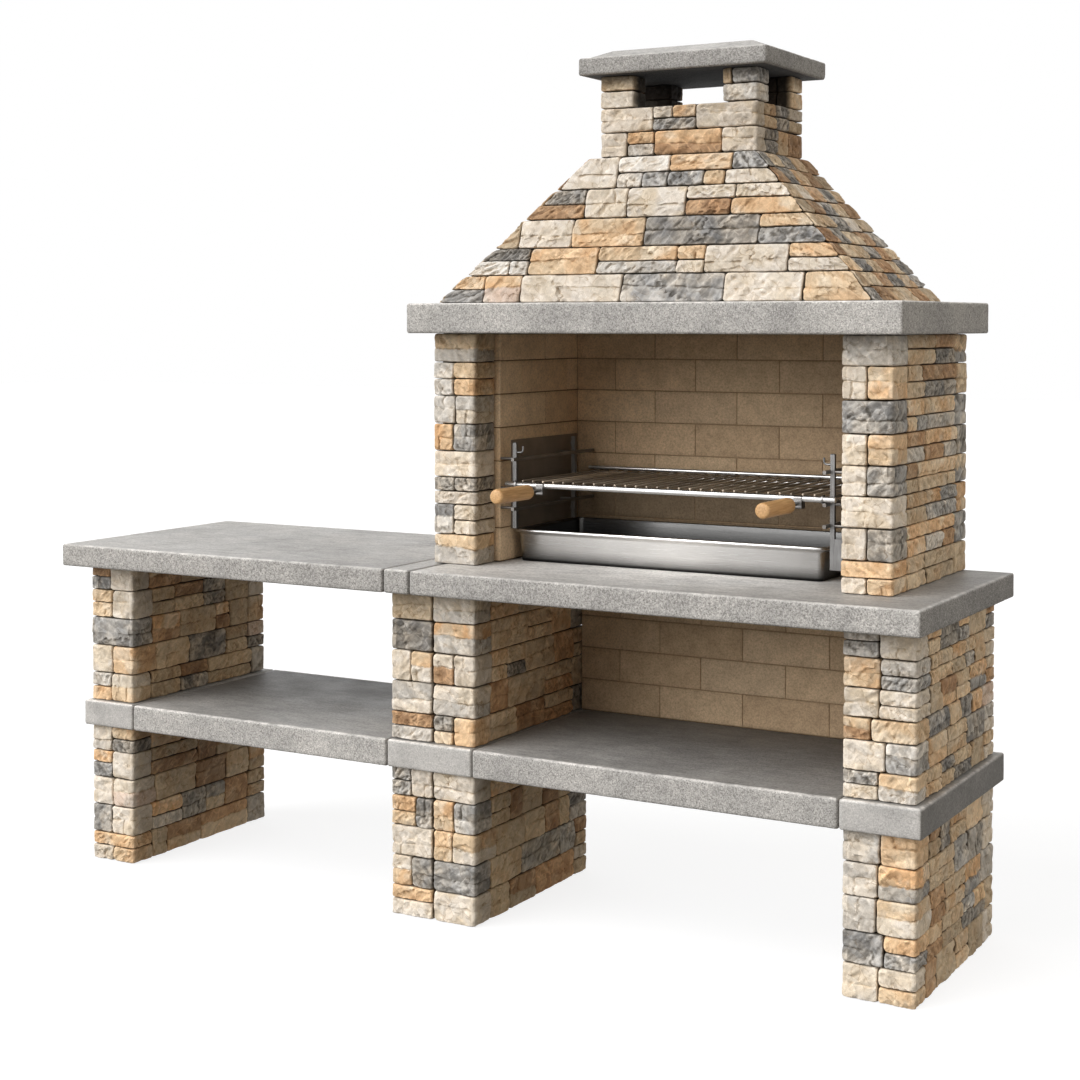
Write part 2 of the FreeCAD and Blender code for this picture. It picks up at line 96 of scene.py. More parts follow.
# ---------------------------------------------------------------------------
# mesh pools
class Pool:
    def __init__(self):
        self.v, self.c, self.f4, self.f3, self.m4, self.m3, self.n = [], [], [], [], [], [], 0

    def add(self, v, c, quads, tris=None, mat=0):
        v = np.asarray(v, float).reshape(-1, 3)
        c = np.asarray(c, float)
        if c.ndim == 1:
            c = np.repeat(c[None, :], len(v), 0)
        self.v.append(v)
        self.c.append(c)
        if quads is not None and len(quads):
            self.f4.append(np.asarray(quads, int) + self.n)
            self.m4.append(np.full(len(quads), mat))
        if tris is not None and len(tris):
            self.f3.append(np.asarray(tris, int) + self.n)
            self.m3.append(np.full(len(tris), mat))
        self.n += len(v)

    def build(self, name, materials, smooth_faces=True, sharp=None):
        v = to_frame(np.concatenate(self.v))
        c = np.concatenate(self.c)
        f4 = np.concatenate(self.f4) if self.f4 else np.zeros((0, 4), int)
        f3 = np.concatenate(self.f3) if self.f3 else np.zeros((0, 3), int)
        m = np.concatenate(self.m4 + self.m3) if self.m4 or self.m3 else np.zeros(0, int)
        me = bpy.data.meshes.new(name)
        me.vertices.add(len(v))
        me.vertices.foreach_set("co", v.astype(np.float32).ravel())
        loops = np.concatenate([f4.ravel(), f3.ravel()])
        me.loops.add(len(loops))
        me.loops.foreach_set("vertex_index", loops.astype(np.int32))
        starts = np.concatenate([np.arange(len(f4)) * 4, len(f4) * 4 + np.arange(len(f3)) * 3])
        me.polygons.add(len(starts))
        me.polygons.foreach_set("loop_start", starts.astype(np.int32))
        me.update(calc_edges=True)
        me.polygons.foreach_set("material_index", m.astype(np.int32))
        me.polygons.foreach_set("use_smooth", np.full(len(starts), bool(smooth_faces)))
        col = me.attributes.new("Col", "FLOAT_COLOR", "POINT")
        rgba = np.concatenate([c, np.ones((len(c), 1))], 1)
        col.data.foreach_set("color", rgba.astype(np.float32).ravel())
        for mt in materials:
            me.materials.append(mt)
        me.validate()
        if sharp is not None:
            me.set_sharp_from_angle(angle=math.radians(sharp))
        me.update()
        o = bpy.data.objects.new(name, me)
        bpy.context.scene.collection.objects.link(o)
        return o


def finish_piece(o, body, nodes):
    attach(o, body)
    if nodes:
        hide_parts(*nodes)
    return o


# ---------------------------------------------------------------------------
# a closed prism around a rounded plan rectangle: columns run round the plan,
# rows run up, and each end closes on a fan
NORMALS = {"F": (0, -1), "R": (1, 0), "B": (0, 1), "L": (-1, 0)}


def plan_loop(x0, x1, y0, y1, radii, steps, segs):
    """radii/segs per corner (FR, RB, BL, LF), steps per side: lists of distances between the corner ends."""
    pts, nrm = [], []
    sides = (
        ("F", np.array([x0, y0]), np.array([1.0, 0.0]), x1 - x0, radii[3], radii[0]),
        ("R", np.array([x1, y0]), np.array([0.0, 1.0]), y1 - y0, radii[0], radii[1]),
        ("B", np.array([x1, y1]), np.array([-1.0, 0.0]), x1 - x0, radii[1], radii[2]),
        ("L", np.array([x0, y1]), np.array([0.0, -1.0]), y1 - y0, radii[2], radii[3]),
    )
    for k, (name, start, d, length, ra, rb) in enumerate(sides):
        n = np.array(NORMALS[name], float)
        for s in steps[name](ra, length - rb):
            pts.append(start + d * s)
            nrm.append(n)
        # the corner at this side's end
        nn = np.array(NORMALS["FRBL"[(k + 1) % 4]], float)
        centre = start + d * (length - rb) - n * rb
        for j in range(1, segs[k]):
            a = 0.5 * math.pi * j / segs[k]
            m = n * math.cos(a) + nn * math.sin(a)
            pts.append(centre + m * rb)
            nrm.append(m)
    return np.array(pts), np.array(nrm)


def even(g):
    def f(a, b):
        n = max(1, int(round((b - a) / g)))
        return np.linspace(a, b, n + 1)

    return f


def sparse(near_a, near_b):
    def f(a, b):
        s = [a]
        if near_a and b - a > 14:
            s += [a + 5.0]
        if near_b and b - a > 24:
            s += [b - 5.0]
        s += [b]
        return np.array(s)

    return f


def prism_faces(nc, nr, base=0):
    i = np.arange(nc)
    j = np.arange(nr - 1)
    a = (j[:, None] * nc + i[None, :]).ravel()
    b = (j[:, None] * nc + ((i + 1) % nc)[None, :]).ravel()
    quads = np.stack([a, b, b + nc, a + nc], 1) + base
    bot = nr * nc
    top = bot + 1
    tris = np.concatenate(
        [
            np.stack([np.full(nc, bot), (i + 1) % nc, i], 1),
            np.stack([np.full(nc, top), (nr - 1) * nc + i, (nr - 1) * nc + (i + 1) % nc], 1),
        ]
    )
    return quads, tris + base


def rows_of(z0, z1, r, g, segs=2):
    """(height, inset) rows of a prism with rounded top and bottom edges."""
    a = np.linspace(0, 0.5 * math.pi, segs + 1)
    low_z, low_i = z0 + r * (1 - np.cos(a)), r * (1 - np.sin(a))
    n = max(1, int(round((z1 - z0 - 2 * r) / g)))
    mid = np.linspace(z0 + r, z1 - r, n + 1)[1:-1]
    z = np.concatenate([low_z, mid, (z1 + z0) - low_z[::-1]])
    ins = np.concatenate([low_i, np.zeros(len(mid)), low_i[::-1]])
    return z, ins


# ---------------------------------------------------------------------------
# palette of the stones: main tone, second tone, vein
PALETTE = {
    "cr": ((222, 212, 199), (215, 200, 178), (208, 196, 178)),
    "wh": ((229, 223, 214), (219, 209, 196), (209, 201, 190)),
    "be": ((206, 187, 160), (195, 169, 138), (191, 175, 153)),
    "ta": ((213, 189, 158), (203, 168, 130), (221, 206, 184)),
    "or": ((217, 186, 150), (207, 166, 124), (226, 208, 184)),
    "br": ((178, 146, 114), (154, 121, 91), (196, 169, 140)),
    "pk": ((214, 195, 180), (202, 178, 160), (220, 210, 198)),
    "lg": ((198, 192, 184), (180, 175, 168), (211, 201, 187)),
    "gr": ((156, 153, 149), (130, 129, 128), (190, 182, 171)),
    "dg": ((143, 138, 131), (115, 113, 111), (174, 165, 153)),
}
PALETTE = {k: [lin(c) for c in v] for k, v in PALETTE.items()}
MORTAR = lin((84, 70, 55))
SOOT = lin((46, 42, 38))


# how strongly the painted shade follows a stone's relief, and how much its clefts vary in tone
CONTRAST = {"cr": 0.6, "wh": 0.6, "be": 0.9, "ta": 0.9, "or": 1.0, "br": 1.2, "pk": 0.6, "lg": 1.4, "gr": 3.3, "dg": 3.5}


def tone(key, p, off, rng):
    c1, c2, c3 = PALETTE[key]
    n1 = NOISE(p / 52.0 + off)
    n2 = NOISE(p / 15.0 + off * 1.7)
    n3 = NOISE(p / 64.0 + off * 2.3)
    k1 = rng.uniform(0.45, 0.95)
    m1 = smooth(-0.12, 0.34, n1 + 0.22 * n2) * k1
    col = c1 + (c2 - c1) * m1[:, None]
    m3 = smooth(0.08, 0.46, n3 + 0.22 * n2) * 0.7
    col = col + (c3 - col) * m3[:, None]
    grain = 1 + 0.05 * NOISE(p / 5.5 + off)
    return col * grain[:, None] * rng.uniform(0.91, 1.07)


def hashed(i, j, seed):
    h = (i.astype(np.int64) * 374761393 + j.astype(np.int64) * 668265263 + seed * 974634777) & 0xFFFFFFFF
    h = ((h ^ (h >> 13)) * 1274126177) & 0xFFFFFFFF
    h = h ^ (h >> 16)
    return h / 2147483648.0 - 1.0


def facets(rng, u, v, size, off):
    """A surface of flat triangular clefts about `size` mm across, between -1 and 1, and a value constant over each cleft."""
    th = (1.0 if rng.rand() < 0.6 else -1.0) * rng.uniform(0.4, 1.1)
    c, s = math.cos(th), math.sin(th)
    q = np.stack([u, v, np.zeros(len(u))], 1)
    wu = u + 0.16 * size * NOISE(q / (0.9 * size) + off)
    wv = v + 0.16 * size * NOISE(q / (0.9 * size) + off + 17.0)
    a = (c * wu + s * wv) / (1.3 * size)
    b = (c * wv - s * wu) / (size * rng.uniform(0.42, 0.62))
    k = (a + b) * 0.36602540378
    a, b = a + k, b + k
    i, j = np.floor(a), np.floor(b)
    fa, fb = a - i, b - j
    seed = rng.randint(1 << 20)
    h00, h11 = hashed(i, j, seed), hashed(i + 1, j + 1, seed)
    up = fa > fb
    hm = np.where(up, hashed(i + 1, j, seed), hashed(i, j + 1, seed))
    h = np.where(up, h00 * (1 - fa) + hm * (fa - fb) + h11 * fb, h00 * (1 - fb) + hm * (fb - fa) + h11 * fa)
    cell = hashed(2 * i + up, j + 7, seed + 3)
    return h, cell


def face_relief(rng, u, v, lu, lv, rough, soft_u):
    """How far (mm) a split face lies behind its plane at (u, v), the tone of the cleft there, and the band along its
    outline that gets a painted highlight.
    """
    n = len(u)
    lim = min(lu, lv)
    off = rng.uniform(0, 90, 3)
    q = np.stack([u, v, np.zeros(n)], 1)
    size = min(44.0, max(17.0, 0.62 * lim)) * rng.uniform(0.85, 1.15)
    big, cell = facets(rng, u, v, size, off)
    fine, cell2 = facets(rng, u, v, 0.42 * size, off + 5.0)
    # outer corners stay nearly straight
    calm = np.ones(n)
    for open_, dist in ((soft_u[0], u), (soft_u[1], lu - u)):
        if open_:
            calm = calm * (0.28 + 0.72 * smooth(3.0, 22.0, dist))
    depth = 3.6 + rough * calm * (4.1 * big + 2.0 * fine + 0.35 * NOISE(q / 7.0 + off))
    # flakes struck off: shallow steps along wandering lines
    for k in range(1 + (lu > 80)):
        th = rng.uniform(-0.5, 0.5) + (0.5 * math.pi if rng.rand() < 0.35 else 0.0)
        c0 = rng.uniform(0.25, 0.75) * lu, rng.uniform(0.2, 0.8) * lv
        d = (v - c0[1]) * math.cos(th) - (u - c0[0]) * math.sin(th)
        d = d + 0.16 * size * NOISE(q / 13.0 + off + 29.0 * k) * 2.0
        reach = smooth(0.75, 0.35, np.hypot((u - c0[0]) / lu, 0.6 * (v - c0[1]) / lv))
        depth = depth + rough * calm * rng.uniform(1.6, 3.6) * (smooth(-1.0, 1.0, d if rng.rand() < 0.5 else -d) - 0.5) * reach
    # pitched edges
    cut = np.zeros(n)
    for edge in range(4):
        if edge < 2 and soft_u[edge]:
            continue
        dist = (u, lu - u, v, lv - v)[edge]
        along = (v / lv, v / lv, u / lu, u / lu)[edge]
        w = rng.uniform(0.04, 0.12) * lim
        k = rng.uniform(0.2, 0.5)
        wave = 0.9 * NOISE(np.stack([along * 2.6, np.full(n, edge * 7.7), np.zeros(n)], 1) + off)
        cut = np.maximum(cut, k * (w * (1 + wave) - dist))
    depth = np.maximum(depth, 0.6) + 0.8 * cut
    # corners of the outline are worn round
    r = min(10.5, 0.3 * lim)
    qu = np.maximum(np.where(soft_u[0], -1.0, r - u), np.where(soft_u[1], -1.0, r - (lu - u)))
    qv = np.maximum(r - v, r - (lv - v))
    out = np.hypot(np.maximum(qu, 0.0), np.maximum(qv, 0.0)) - r
    depth = 12.0 * (1 - np.exp(-depth / 12.0)) + 4.5 * smooth(-2.0, 2.4, out) + 5.5 * smooth(0.4, 3.2, out)
    return depth, 0.65 * cell + 0.35 * cell2, smooth(-6.0, -1.0, out)


def stone(pool, box, exp, top, bot, rng, g=4.4, rough=1.0, warp=None, gap=0.8, radius=None, tint=None, upright=None, flush="", ends=(0.4, 0.95), vary=0.0):
    """One split-faced stone filling `box` less its joints; `exp` names its open sides and `flush` the ends that meet a flat neighbour."""
    x0, x1, y0, y1, z0, z1 = box
    j = lambda: gap + rng.uniform(-0.3, 0.5)
    ju = lambda: (gap if upright is None else upright) + rng.uniform(-0.3, 0.5)
    X0 = x0 if "L" in exp else x0 + ju()
    X1 = x1 if "R" in exp else x1 - ju()
    Y0 = y0 if "F" in exp else y0 + ju()
    Y1 = y1 if "B" in exp else y1 - ju()
    Z0, Z1 = z0 + j(), z1 - j()
    small = min(X1 - X0, Y1 - Y0, Z1 - Z0)
    r_edge = min(rng.uniform(3.0, 4.4) if radius is None else radius, 0.3 * small)
    r_v = min(rng.uniform(3.0, 4.4) if radius is None else radius, 0.28 * small)
    radii, segs = [], []
    for a, b in (("F", "R"), ("R", "B"), ("B", "L"), ("L", "F")):
        both = (a in exp) + (b in exp)
        square = a in flush or b in flush
        radii.append(1.0 if square else r_edge * 1.8 if both == 2 else r_edge if both == 1 else min(2.0, r_edge))
        segs.append(1 if square else 3 if both else 1)
    steps = {}
    order = "LFRBLF"
    for k, s in enumerate("FRBL"):
        before, after = order[k], order[k + 2]
        steps[s] = even(g) if s in exp else sparse(before in exp, after in exp)
    P, N = plan_loop(X0, X1, Y0, Y1, radii, steps, segs)
    zr, ins = rows_of(Z0, Z1, r_v, g, 3)
    nc, nr = len(P), len(zr)
    lz = Z1 - Z0
    off = rng.uniform(0, 60, 3)
    zz = np.repeat(zr[:, None], nc, 1)
    rc, line = None, None
    if bot is not None and nr > 10:
        # the row nearest the ledge is bent to follow it
        rc = int(np.argmin(np.abs(zr - (Z0 + rng.uniform(0.40, 0.60) * lz))))
        p3 = np.concatenate([P, np.zeros((nc, 1))], 1)
        tilt = rng.uniform(-0.07, 0.07, 2)
        shift = 0.06 * lz * NOISE(p3 / 44.0 + off) + 0.022 * lz * NOISE(p3 / 8.0 + off + 3) + (P - P.mean(0)) @ tilt
        low, high = zr[4], zr[-5]
        shift = np.clip(zr[rc] + shift, low, high) - zr[rc]
        t = np.where(zr <= zr[rc], (zr - zr[0]) / (zr[rc] - zr[0]), (zr[-1] - zr) / (zr[-1] - zr[rc]))
        zz = zz + t[:, None] * shift[None, :]
        line = zz - (zr[rc] + shift)[None, :]
    xy = P[None, :, :] - N[None, :, :] * ins[:, None, None]
    v = np.concatenate([xy, zz[:, :, None]], 2).reshape(-1, 3)
    mid = np.array([[0.5 * (X0 + X1), 0.5 * (Y0 + Y1), Z0], [0.5 * (X0 + X1), 0.5 * (Y0 + Y1), Z1]])
    v = np.concatenate([v, mid])
    quads, tris = prism_faces(nc, nr)
    colour = tone(top, v, off, rng)
    flat = nr * nc
    if line is not None and bot != top:
        other = tone(bot, v, off + 5.0, rng)
        k = np.concatenate([smooth(1.0, -1.0, line.ravel() + 2.2 * NOISE(v[:flat] / 9.0 + off)), [1.0, 0.0]])
        colour = colour + (other - colour) * k[:, None]
    contrast = 0.5 * (CONTRAST[top] + CONTRAST[bot or top])
    disp = np.zeros_like(v)
    inner = np.full(len(v), 1e3)
    relief = np.zeros((nr, nc))
    seed = rng.randint(1 << 30)
    painted_rim_highlight = np.zeros(len(v))
    for s in exp:
        fr = np.random.RandomState((seed + ord(s) * 77) % (1 << 31))
        if s in "FB":
            u, lu = v[:, 0] - X0, X1 - X0
            depth_in = v[:, 1] - Y0 if s == "F" else Y1 - v[:, 1]
            soft = ("L" in exp + flush, "R" in exp + flush)
        else:
            u, lu = v[:, 1] - Y0, Y1 - Y0
            depth_in = X1 - v[:, 0] if s == "R" else v[:, 0] - X0
            soft = ("F" in exp + flush, "B" in exp + flush)
        d, cell, highlight_band = face_relief(fr, u, v[:, 2] - Z0, lu, lz, rough, soft)
        near = depth_in < 14.0
        if rc is not None:
            col_open = near[:flat].reshape(nr, nc)[rc]
            fade = (0.25 + 0.75 * smooth(-0.12, 0.2, NOISE(np.concatenate([P, np.full((nc, 1), 9.0)], 1) / 30.0 + off))) * col_open
            deep = fr.uniform(1.8, 3.6) * rough
            lip = fr.uniform(-1.8, 2.6) * rough
            ld = np.concatenate([line.ravel(), [0.0, 0.0]])
            fd = np.concatenate([np.repeat(fade[None, :], nr, 0).ravel(), [0.0, 0.0]])
            wedge = np.exp(-np.abs(ld) / np.where(ld > 0, 2.0, 3.4))
            d = d + deep * wedge * fd + lip * smooth(-2.0, 2.0, ld) * np.exp(-np.abs(ld) / 16.0)
        # a crack down one lobe
        if fr.rand() < 0.3 and lu > 44:
            at = fr.uniform(0.25, 0.75) * lu + 0.08 * lu * NOISE(np.stack([v[:, 2] / 12.0, np.full(len(v), 2.2), np.zeros(len(v))], 1) + off)
            ld = np.concatenate([line.ravel(), [0.0, 0.0]]) if rc is not None else v[:, 2] - 0.5 * (Z0 + Z1)
            side = smooth(-2.0, 2.0, ld if fr.rand() < 0.5 else -ld)
            d = d + fr.uniform(2.0, 3.6) * rough * np.exp(-(((u - at) / 2.4) ** 2)) * side
        d = np.maximum(d, 0.05)
        w = smooth(26.0, 2.0, depth_in)
        nn = np.array(NORMALS[s] + (0,), float)
        disp -= nn[None, :] * (d * w)[:, None]
        inner = np.minimum(inner, depth_in)
        face = d[:flat].reshape(nr, nc)
        sel = near[:flat].reshape(nr, nc)
        relief = np.where(sel, face, relief)
        painted_rim_highlight = np.where(near, np.maximum(painted_rim_highlight, highlight_band), painted_rim_highlight)
        colour = np.where(near[:, None], colour * (1 + 0.12 * contrast * cell)[:, None], colour)
    # painted shade: proud ridges are painted paler and hollows darker, following the relief; dips are also tinted
    # browner
    soft_relief = relief.copy()
    for _ in range(3):
        pad = np.pad(soft_relief, ((1, 1), (0, 0)), mode="edge")
        soft_relief = (pad[:-2] + pad[1:-1] + pad[2:]) / 3.0
        soft_relief = (np.roll(soft_relief, 1, 1) + soft_relief + np.roll(soft_relief, -1, 1)) / 3.0
    ridge = np.clip(soft_relief - relief, -2.2, 1.6)
    broad = np.clip(relief - relief[relief > 0].mean(), -4.0, 6.0) if (relief > 0).any() else relief
    k = (1 + 0.13 * contrast * ridge) * (1 - 0.022 * contrast * broad)
    colour[:flat] *= np.clip(k, 0.45, 1.5).reshape(-1, 1)
    stain = np.clip(-ridge.ravel() - 0.3, 0.0, 1.6)[:, None] * np.array([0.05, 0.10, 0.17])
    colour[:flat] *= 1 - stain
    # painted highlight: a pale rim along the outline; then the joint faces take the mortar tone
    colour = colour * (1 + 0.07 * painted_rim_highlight[:, None])
    ins_row = np.concatenate([np.repeat((ins / max(r_v, 1e-3))[:, None], nc, 1).ravel(), [1.0, 1.0]])
    inside = np.where(inner < 900, inner, 0.0)
    turn = 1 - np.max([N @ np.array(NORMALS[s], float) for s in exp], 0)
    turn = np.concatenate([np.repeat(turn[None, :], nr, 0).ravel(), [1.0, 1.0]])
    # the faces inside a joint and the last of the rounding take the mortar tone of the joint; on the rounded ends
    # turning into the joints (set by ends) the darkening is painted shade
    k = np.maximum(smooth(6.0, 15.0, inside), 0.85 * np.maximum(smooth(0.6, 1.0, ins_row), smooth(ends[0], ends[1], turn)))
    colour = colour * (1 + vary * np.random.RandomState(seed).uniform(-1, 1)) + (MORTAR * 0.75 - colour) * (0.85 * k)[:, None]
    # slight wander of the whole outline
    wob = np.stack([NOISE(v / 55.0 + off), NOISE(v / 55.0 + off + 31), NOISE(v / 55.0 + off + 67)], 1)
    wander = np.array(
        [0.0 if ("L" in exp or "R" in exp) else 1.0, 0.0 if ("F" in exp or "B" in exp) else 1.0, 1.1]
    )
    v = v + disp + wob * wander
    v[:, 2] = np.clip(v[:, 2], z0 + 0.2, z1 - 0.2)
    if tint is not None:
        k = tint(v)
        colour = colour * (k if k.ndim == 2 else k[:, None])
    if warp is not None:
        v = warp(v)
    pool.add(v, np.clip(colour, 0.0, 1.0), quads, tris, 0)


def box_core(pool, x0, x1, y0, y1, z0, z1, colour, mat):
    """A plain backing behind the stones, with its edges eased."""
    P, N = plan_loop(x0, x1, y0, y1, [3.0] * 4, {s: even(60.0) for s in "FRBL"}, [2] * 4)
    zr, ins = rows_of(z0, z1, 2.0, 60.0, 1)
    xy = P[None] - N[None] * ins[:, None, None]
    v = np.concatenate([xy, np.broadcast_to(zr[:, None, None], (len(zr), len(P), 1))], 2).reshape(-1, 3)
    v = np.concatenate([v, [[0.5 * (x0 + x1), 0.5 * (y0 + y1), z0], [0.5 * (x0 + x1), 0.5 * (y0 + y1), z1]]])
    q, t = prism_faces(len(P), len(zr))
    pool.add(v, colour, q, t, mat)


def frustum_ring(pool, low, high, wall, z0, z1, colour, mat):
    """Four sloping walls round a flue: outer rectangles low/high, `wall` thick, square ends."""
    rings = []
    for rect, z in ((low, z0), (high, z1)):
        for inset in (0.0, wall):
            a, b, c, d = rect[0] + inset, rect[1] - inset, rect[2] + inset, rect[3] - inset
            rings.append(np.array([[a, c, z], [b, c, z], [b, d, z], [a, d, z]]))
    v = np.concatenate(rings)
    q = []
    for i in range(4):
        k = (i + 1) % 4
        q.append((i, k, 8 + k, 8 + i))
        q.append((4 + k, 4 + i, 12 + i, 12 + k))
        q.append((8 + i, 8 + k, 12 + k, 12 + i))
        q.append((k, i, 4 + i, 4 + k))
    pool.add(v, colour, q, None, mat)


# ---------------------------------------------------------------------------
# stone layouts.  A course is "width:stone width:stone ...": "a" is one stone,
# "a/b" one stone with a ledge across it and two tones, "a//b" two half-height
# stones, "a*60+b*40" stones side by side, and "row | row" two half-height rows.
def parse_course(text, a0, a1, z0, z1, rng):
    out = []
    rows = text.split("|")
    cuts = [z1, z0] if len(rows) == 1 else [z1, z0 + (z1 - z0) * rng.uniform(0.46, 0.55), z0]
    for k, row in enumerate(rows):
        cells = [c.split(":") for c in row.split()]
        total = sum(float(c[0]) for c in cells)
        at = a0
        for i, (w, spec) in enumerate(cells):
            end = a1 if i == len(cells) - 1 else at + (a1 - a0) * float(w) / total
            za, zb = cuts[k + 1], cuts[k]
            if "//" in spec:
                halves = spec.split("//")
                zm = za + (zb - za) * rng.uniform(0.45, 0.55)
                for half, (h0, h1) in zip(halves, ((zm, zb), (za, zm))):
                    parts = [(p.split("*") + ["1"])[:2] for p in half.split("+")]
                    tw = sum(float(p[1]) for p in parts)
                    pa = at
                    for n, (key, pw) in enumerate(parts):
                        pe = end if n == len(parts) - 1 else pa + (end - at) * float(pw) / tw
                        out.append((pa, pe, h0, h1, key, None))
                        pa = pe
            else:
                pair = spec.split("/")
                out.append((at, end, za, zb, pair[0], pair[1] if len(pair) > 1 else None))
            at = end
    return out


KEYS = ["cr", "be", "ta", "or", "br", "lg", "gr", "dg", "pk"]
ODDS = np.array([0.27, 0.2, 0.14, 0.07, 0.07, 0.11, 0.07, 0.05, 0.02])
ODDS = ODDS / ODDS.sum()


def random_course(rng, length):
    cells = []
    left = length
    while left > 1:
        w = min(left, rng.uniform(75, 165))
        if left - w < 45:
            w = left
        a, b = rng.choice(KEYS, p=ODDS), rng.choice(KEYS, p=ODDS)
        u = rng.rand()
        if u < 0.45:
            spec = f"{a}//{b}"
        elif u < 0.85:
            spec = f"{a}/{a if rng.rand() < 0.6 else b}"
        else:
            spec = a
        cells.append(f"{w:.1f}:{spec}")
        left -= w
    return " ".join(cells)


def tower(pool, x0, x1, y0, y1, zs, faces, fronts=None, rights=None, backs=None, lefts=None, wraps=None, rng=None, g=2.9, back_right=None, core=True, side_skip=(), side_shade_tint=None, front_shade_tint=None):
    """Courses of stone round a rectangular leg; zs are the course lines from the ground up, texts from the top down."""
    n = len(zs) - 1
    skin = 42.0
    br = x1 if back_right is None else back_right
    for i in range(n):
        z0, z1 = zs[n - 1 - i], zs[n - i]
        wf = wraps[i % len(wraps)] if wraps else rng.uniform(62, 98)
        wb = rng.uniform(62, 98)
        front = fronts[i] if fronts else random_course(rng, x1 - x0)
        back = backs[i] if backs else random_course(rng, br - x0)
        for a, b, c, d, top, bot in parse_course(front, x0, x1, z0, z1, rng):
            l, r = a <= x0 + 0.1, b >= x1 - 0.1
            exp = "F" + ("L" if l and "L" in faces else "") + ("R" if r and "R" in faces else "")
            deep = wf if len(exp) > 1 else skin
            stone(pool, (a, b, y0, y0 + deep, c, d), exp, top, bot, rng, g, tint=front_shade_tint)
        if "B" in faces:
            for a, b, c, d, top, bot in parse_course(back, x0, br, z0, z1, rng):
                l, r = a <= x0 + 0.1, b >= br - 0.1
                exp = "B" + ("L" if l and "L" in faces else "") + ("R" if r and "R" in faces and "R" not in side_skip else "")
                deep = wb if len(exp) > 1 else skin
                stone(pool, (a, b, y1 - deep, y1, c, d), exp, top, bot, rng, g * 1.4, tint=front_shade_tint)
        else:
            wb = 0.0
        for s, texts in (("R", rights), ("L", lefts)):
            if s not in faces or s in side_skip:
                continue
            ya, yb = y0 + wf, y1 - wb
            text = texts[i] if texts else random_course(rng, yb - ya)
            xa, xb = (x1 - skin, x1) if s == "R" else (x0, x0 + skin)
            for a, b, c, d, top, bot in parse_course(text, ya, yb, z0, z1, rng):
                stone(pool, (xa, xb, a, b, c, d), s, top, bot, rng, g if s == "R" else g * 1.4, rough=0.95, gap=0.75 if side_shade_tint is None else 0.55, radius=rng.uniform(3.0, 4.4), tint=side_shade_tint, upright=1.6 if side_shade_tint is None else 0.8, ends=(0.08, 0.5) if side_shade_tint is None else (0.4, 0.95), vary=0.2)
    if core:
        e = 19.0
        box_core(
            pool,
            x0 + (e if "L" in faces else 0.6),
            br - (e if "R" in faces else 0.6),
            y0 + e,
            y1 - (e if "B" in faces else 0.6),
            zs[0] + 0.6,
            zs[-1] - 0.6,
            MORTAR * 0.55,
            1,
        )


def courses(z0, z1, shares):
    s = np.cumsum([0.0] + list(shares))
    return list(z0 + (z1 - z0) * s / s[-1])


# ---------------------------------------------------------------------------
# materials
def new_mat(name):
    m = bpy.data.materials.new(name)
    m.use_nodes = True
    nt = m.node_tree
    nt.nodes.clear()
    out = nt.nodes.new("ShaderNodeOutputMaterial")
    p = nt.nodes.new("ShaderNodeBsdfPrincipled")
    nt.links.new(p.outputs["BSDF"], out.inputs["Surface"])
    return m, nt, p


def coords(nt, scale=(1, 1, 1)):
    tc = nt.nodes.new("ShaderNodeTexCoord")
    mp = nt.nodes.new("ShaderNodeMapping")
    mp.inputs["Scale"].default_value = scale
    nt.links.new(tc.outputs["Object"], mp.inputs["Vector"])
    return mp.outputs["Vector"]


def noise(nt, vec, scale, detail=2.0, rough=0.5, distortion=0.0):
    n = nt.nodes.new("ShaderNodeTexNoise")
    n.inputs["Scale"].default_value = scale
    n.inputs["Detail"].default_value = detail
    n.inputs["Roughness"].default_value = rough
    n.inputs["Distortion"].default_value = distortion
    nt.links.new(vec, n.inputs["Vector"])
    return n.outputs["Fac"]


def ramp(nt, fac, stops):
    r = nt.nodes.new("ShaderNodeValToRGB")
    el = r.color_ramp.elements
    while len(el) < len(stops):
        el.new(0.5)
    for e, (pos, c) in zip(el, stops):
        e.position = pos
        c = (c, c, c) if np.isscalar(c) else c
        e.color = (c[0], c[1], c[2], 1.0)
    nt.links.new(fac, r.inputs["Fac"])
    return r.outputs["Color"]


def mix(nt, kind, a, b, fac=1.0):
    m = nt.nodes.new("ShaderNodeMix")
    m.data_type = "RGBA"
    m.blend_type = kind
    m.clamp_factor = True
    if hasattr(fac, "links"):
        nt.links.new(fac, m.inputs[0])
    else:
        m.inputs[0].default_value = fac
    for s, k in ((a, 6), (b, 7)):
        if hasattr(s, "links"):
            nt.links.new(s, m.inputs[k])
        else:
            m.inputs[k].default_value = (s[0], s[1], s[2], 1.0)
    return m.outputs[2]


def bump(nt, height, strength, distance, normal=None):
    b = nt.nodes.new("ShaderNodeBump")
    b.inputs["Strength"].default_value = strength
    b.inputs["Distance"].default_value = distance
    nt.links.new(height, b.inputs["Height"])
    if normal is not None:
        nt.links.new(normal, b.inputs["Normal"])
    return b.outputs["Normal"]


def attr(nt, name="Col"):
    a = nt.nodes.new("ShaderNodeAttribute")
    a.attribute_name = name
    return a.outputs["Color"]


def upness(nt):
    g = nt.nodes.new("ShaderNodeNewGeometry")
    s = nt.nodes.new("ShaderNodeSeparateXYZ")
    nt.links.new(g.outputs["Normal"], s.inputs[0])
    return s.outputs["Z"]


def vmath(nt, op, a, b):
    n = nt.nodes.new("ShaderNodeVectorMath")
    n.operation = op
    for k, x in enumerate((a, b)):
        if hasattr(x, "links"):
            nt.links.new(x, n.inputs[k])
        else:
            n.inputs[k].default_value = x
    return n.outputs["Value" if op == "DOT_PRODUCT" else "Vector"]


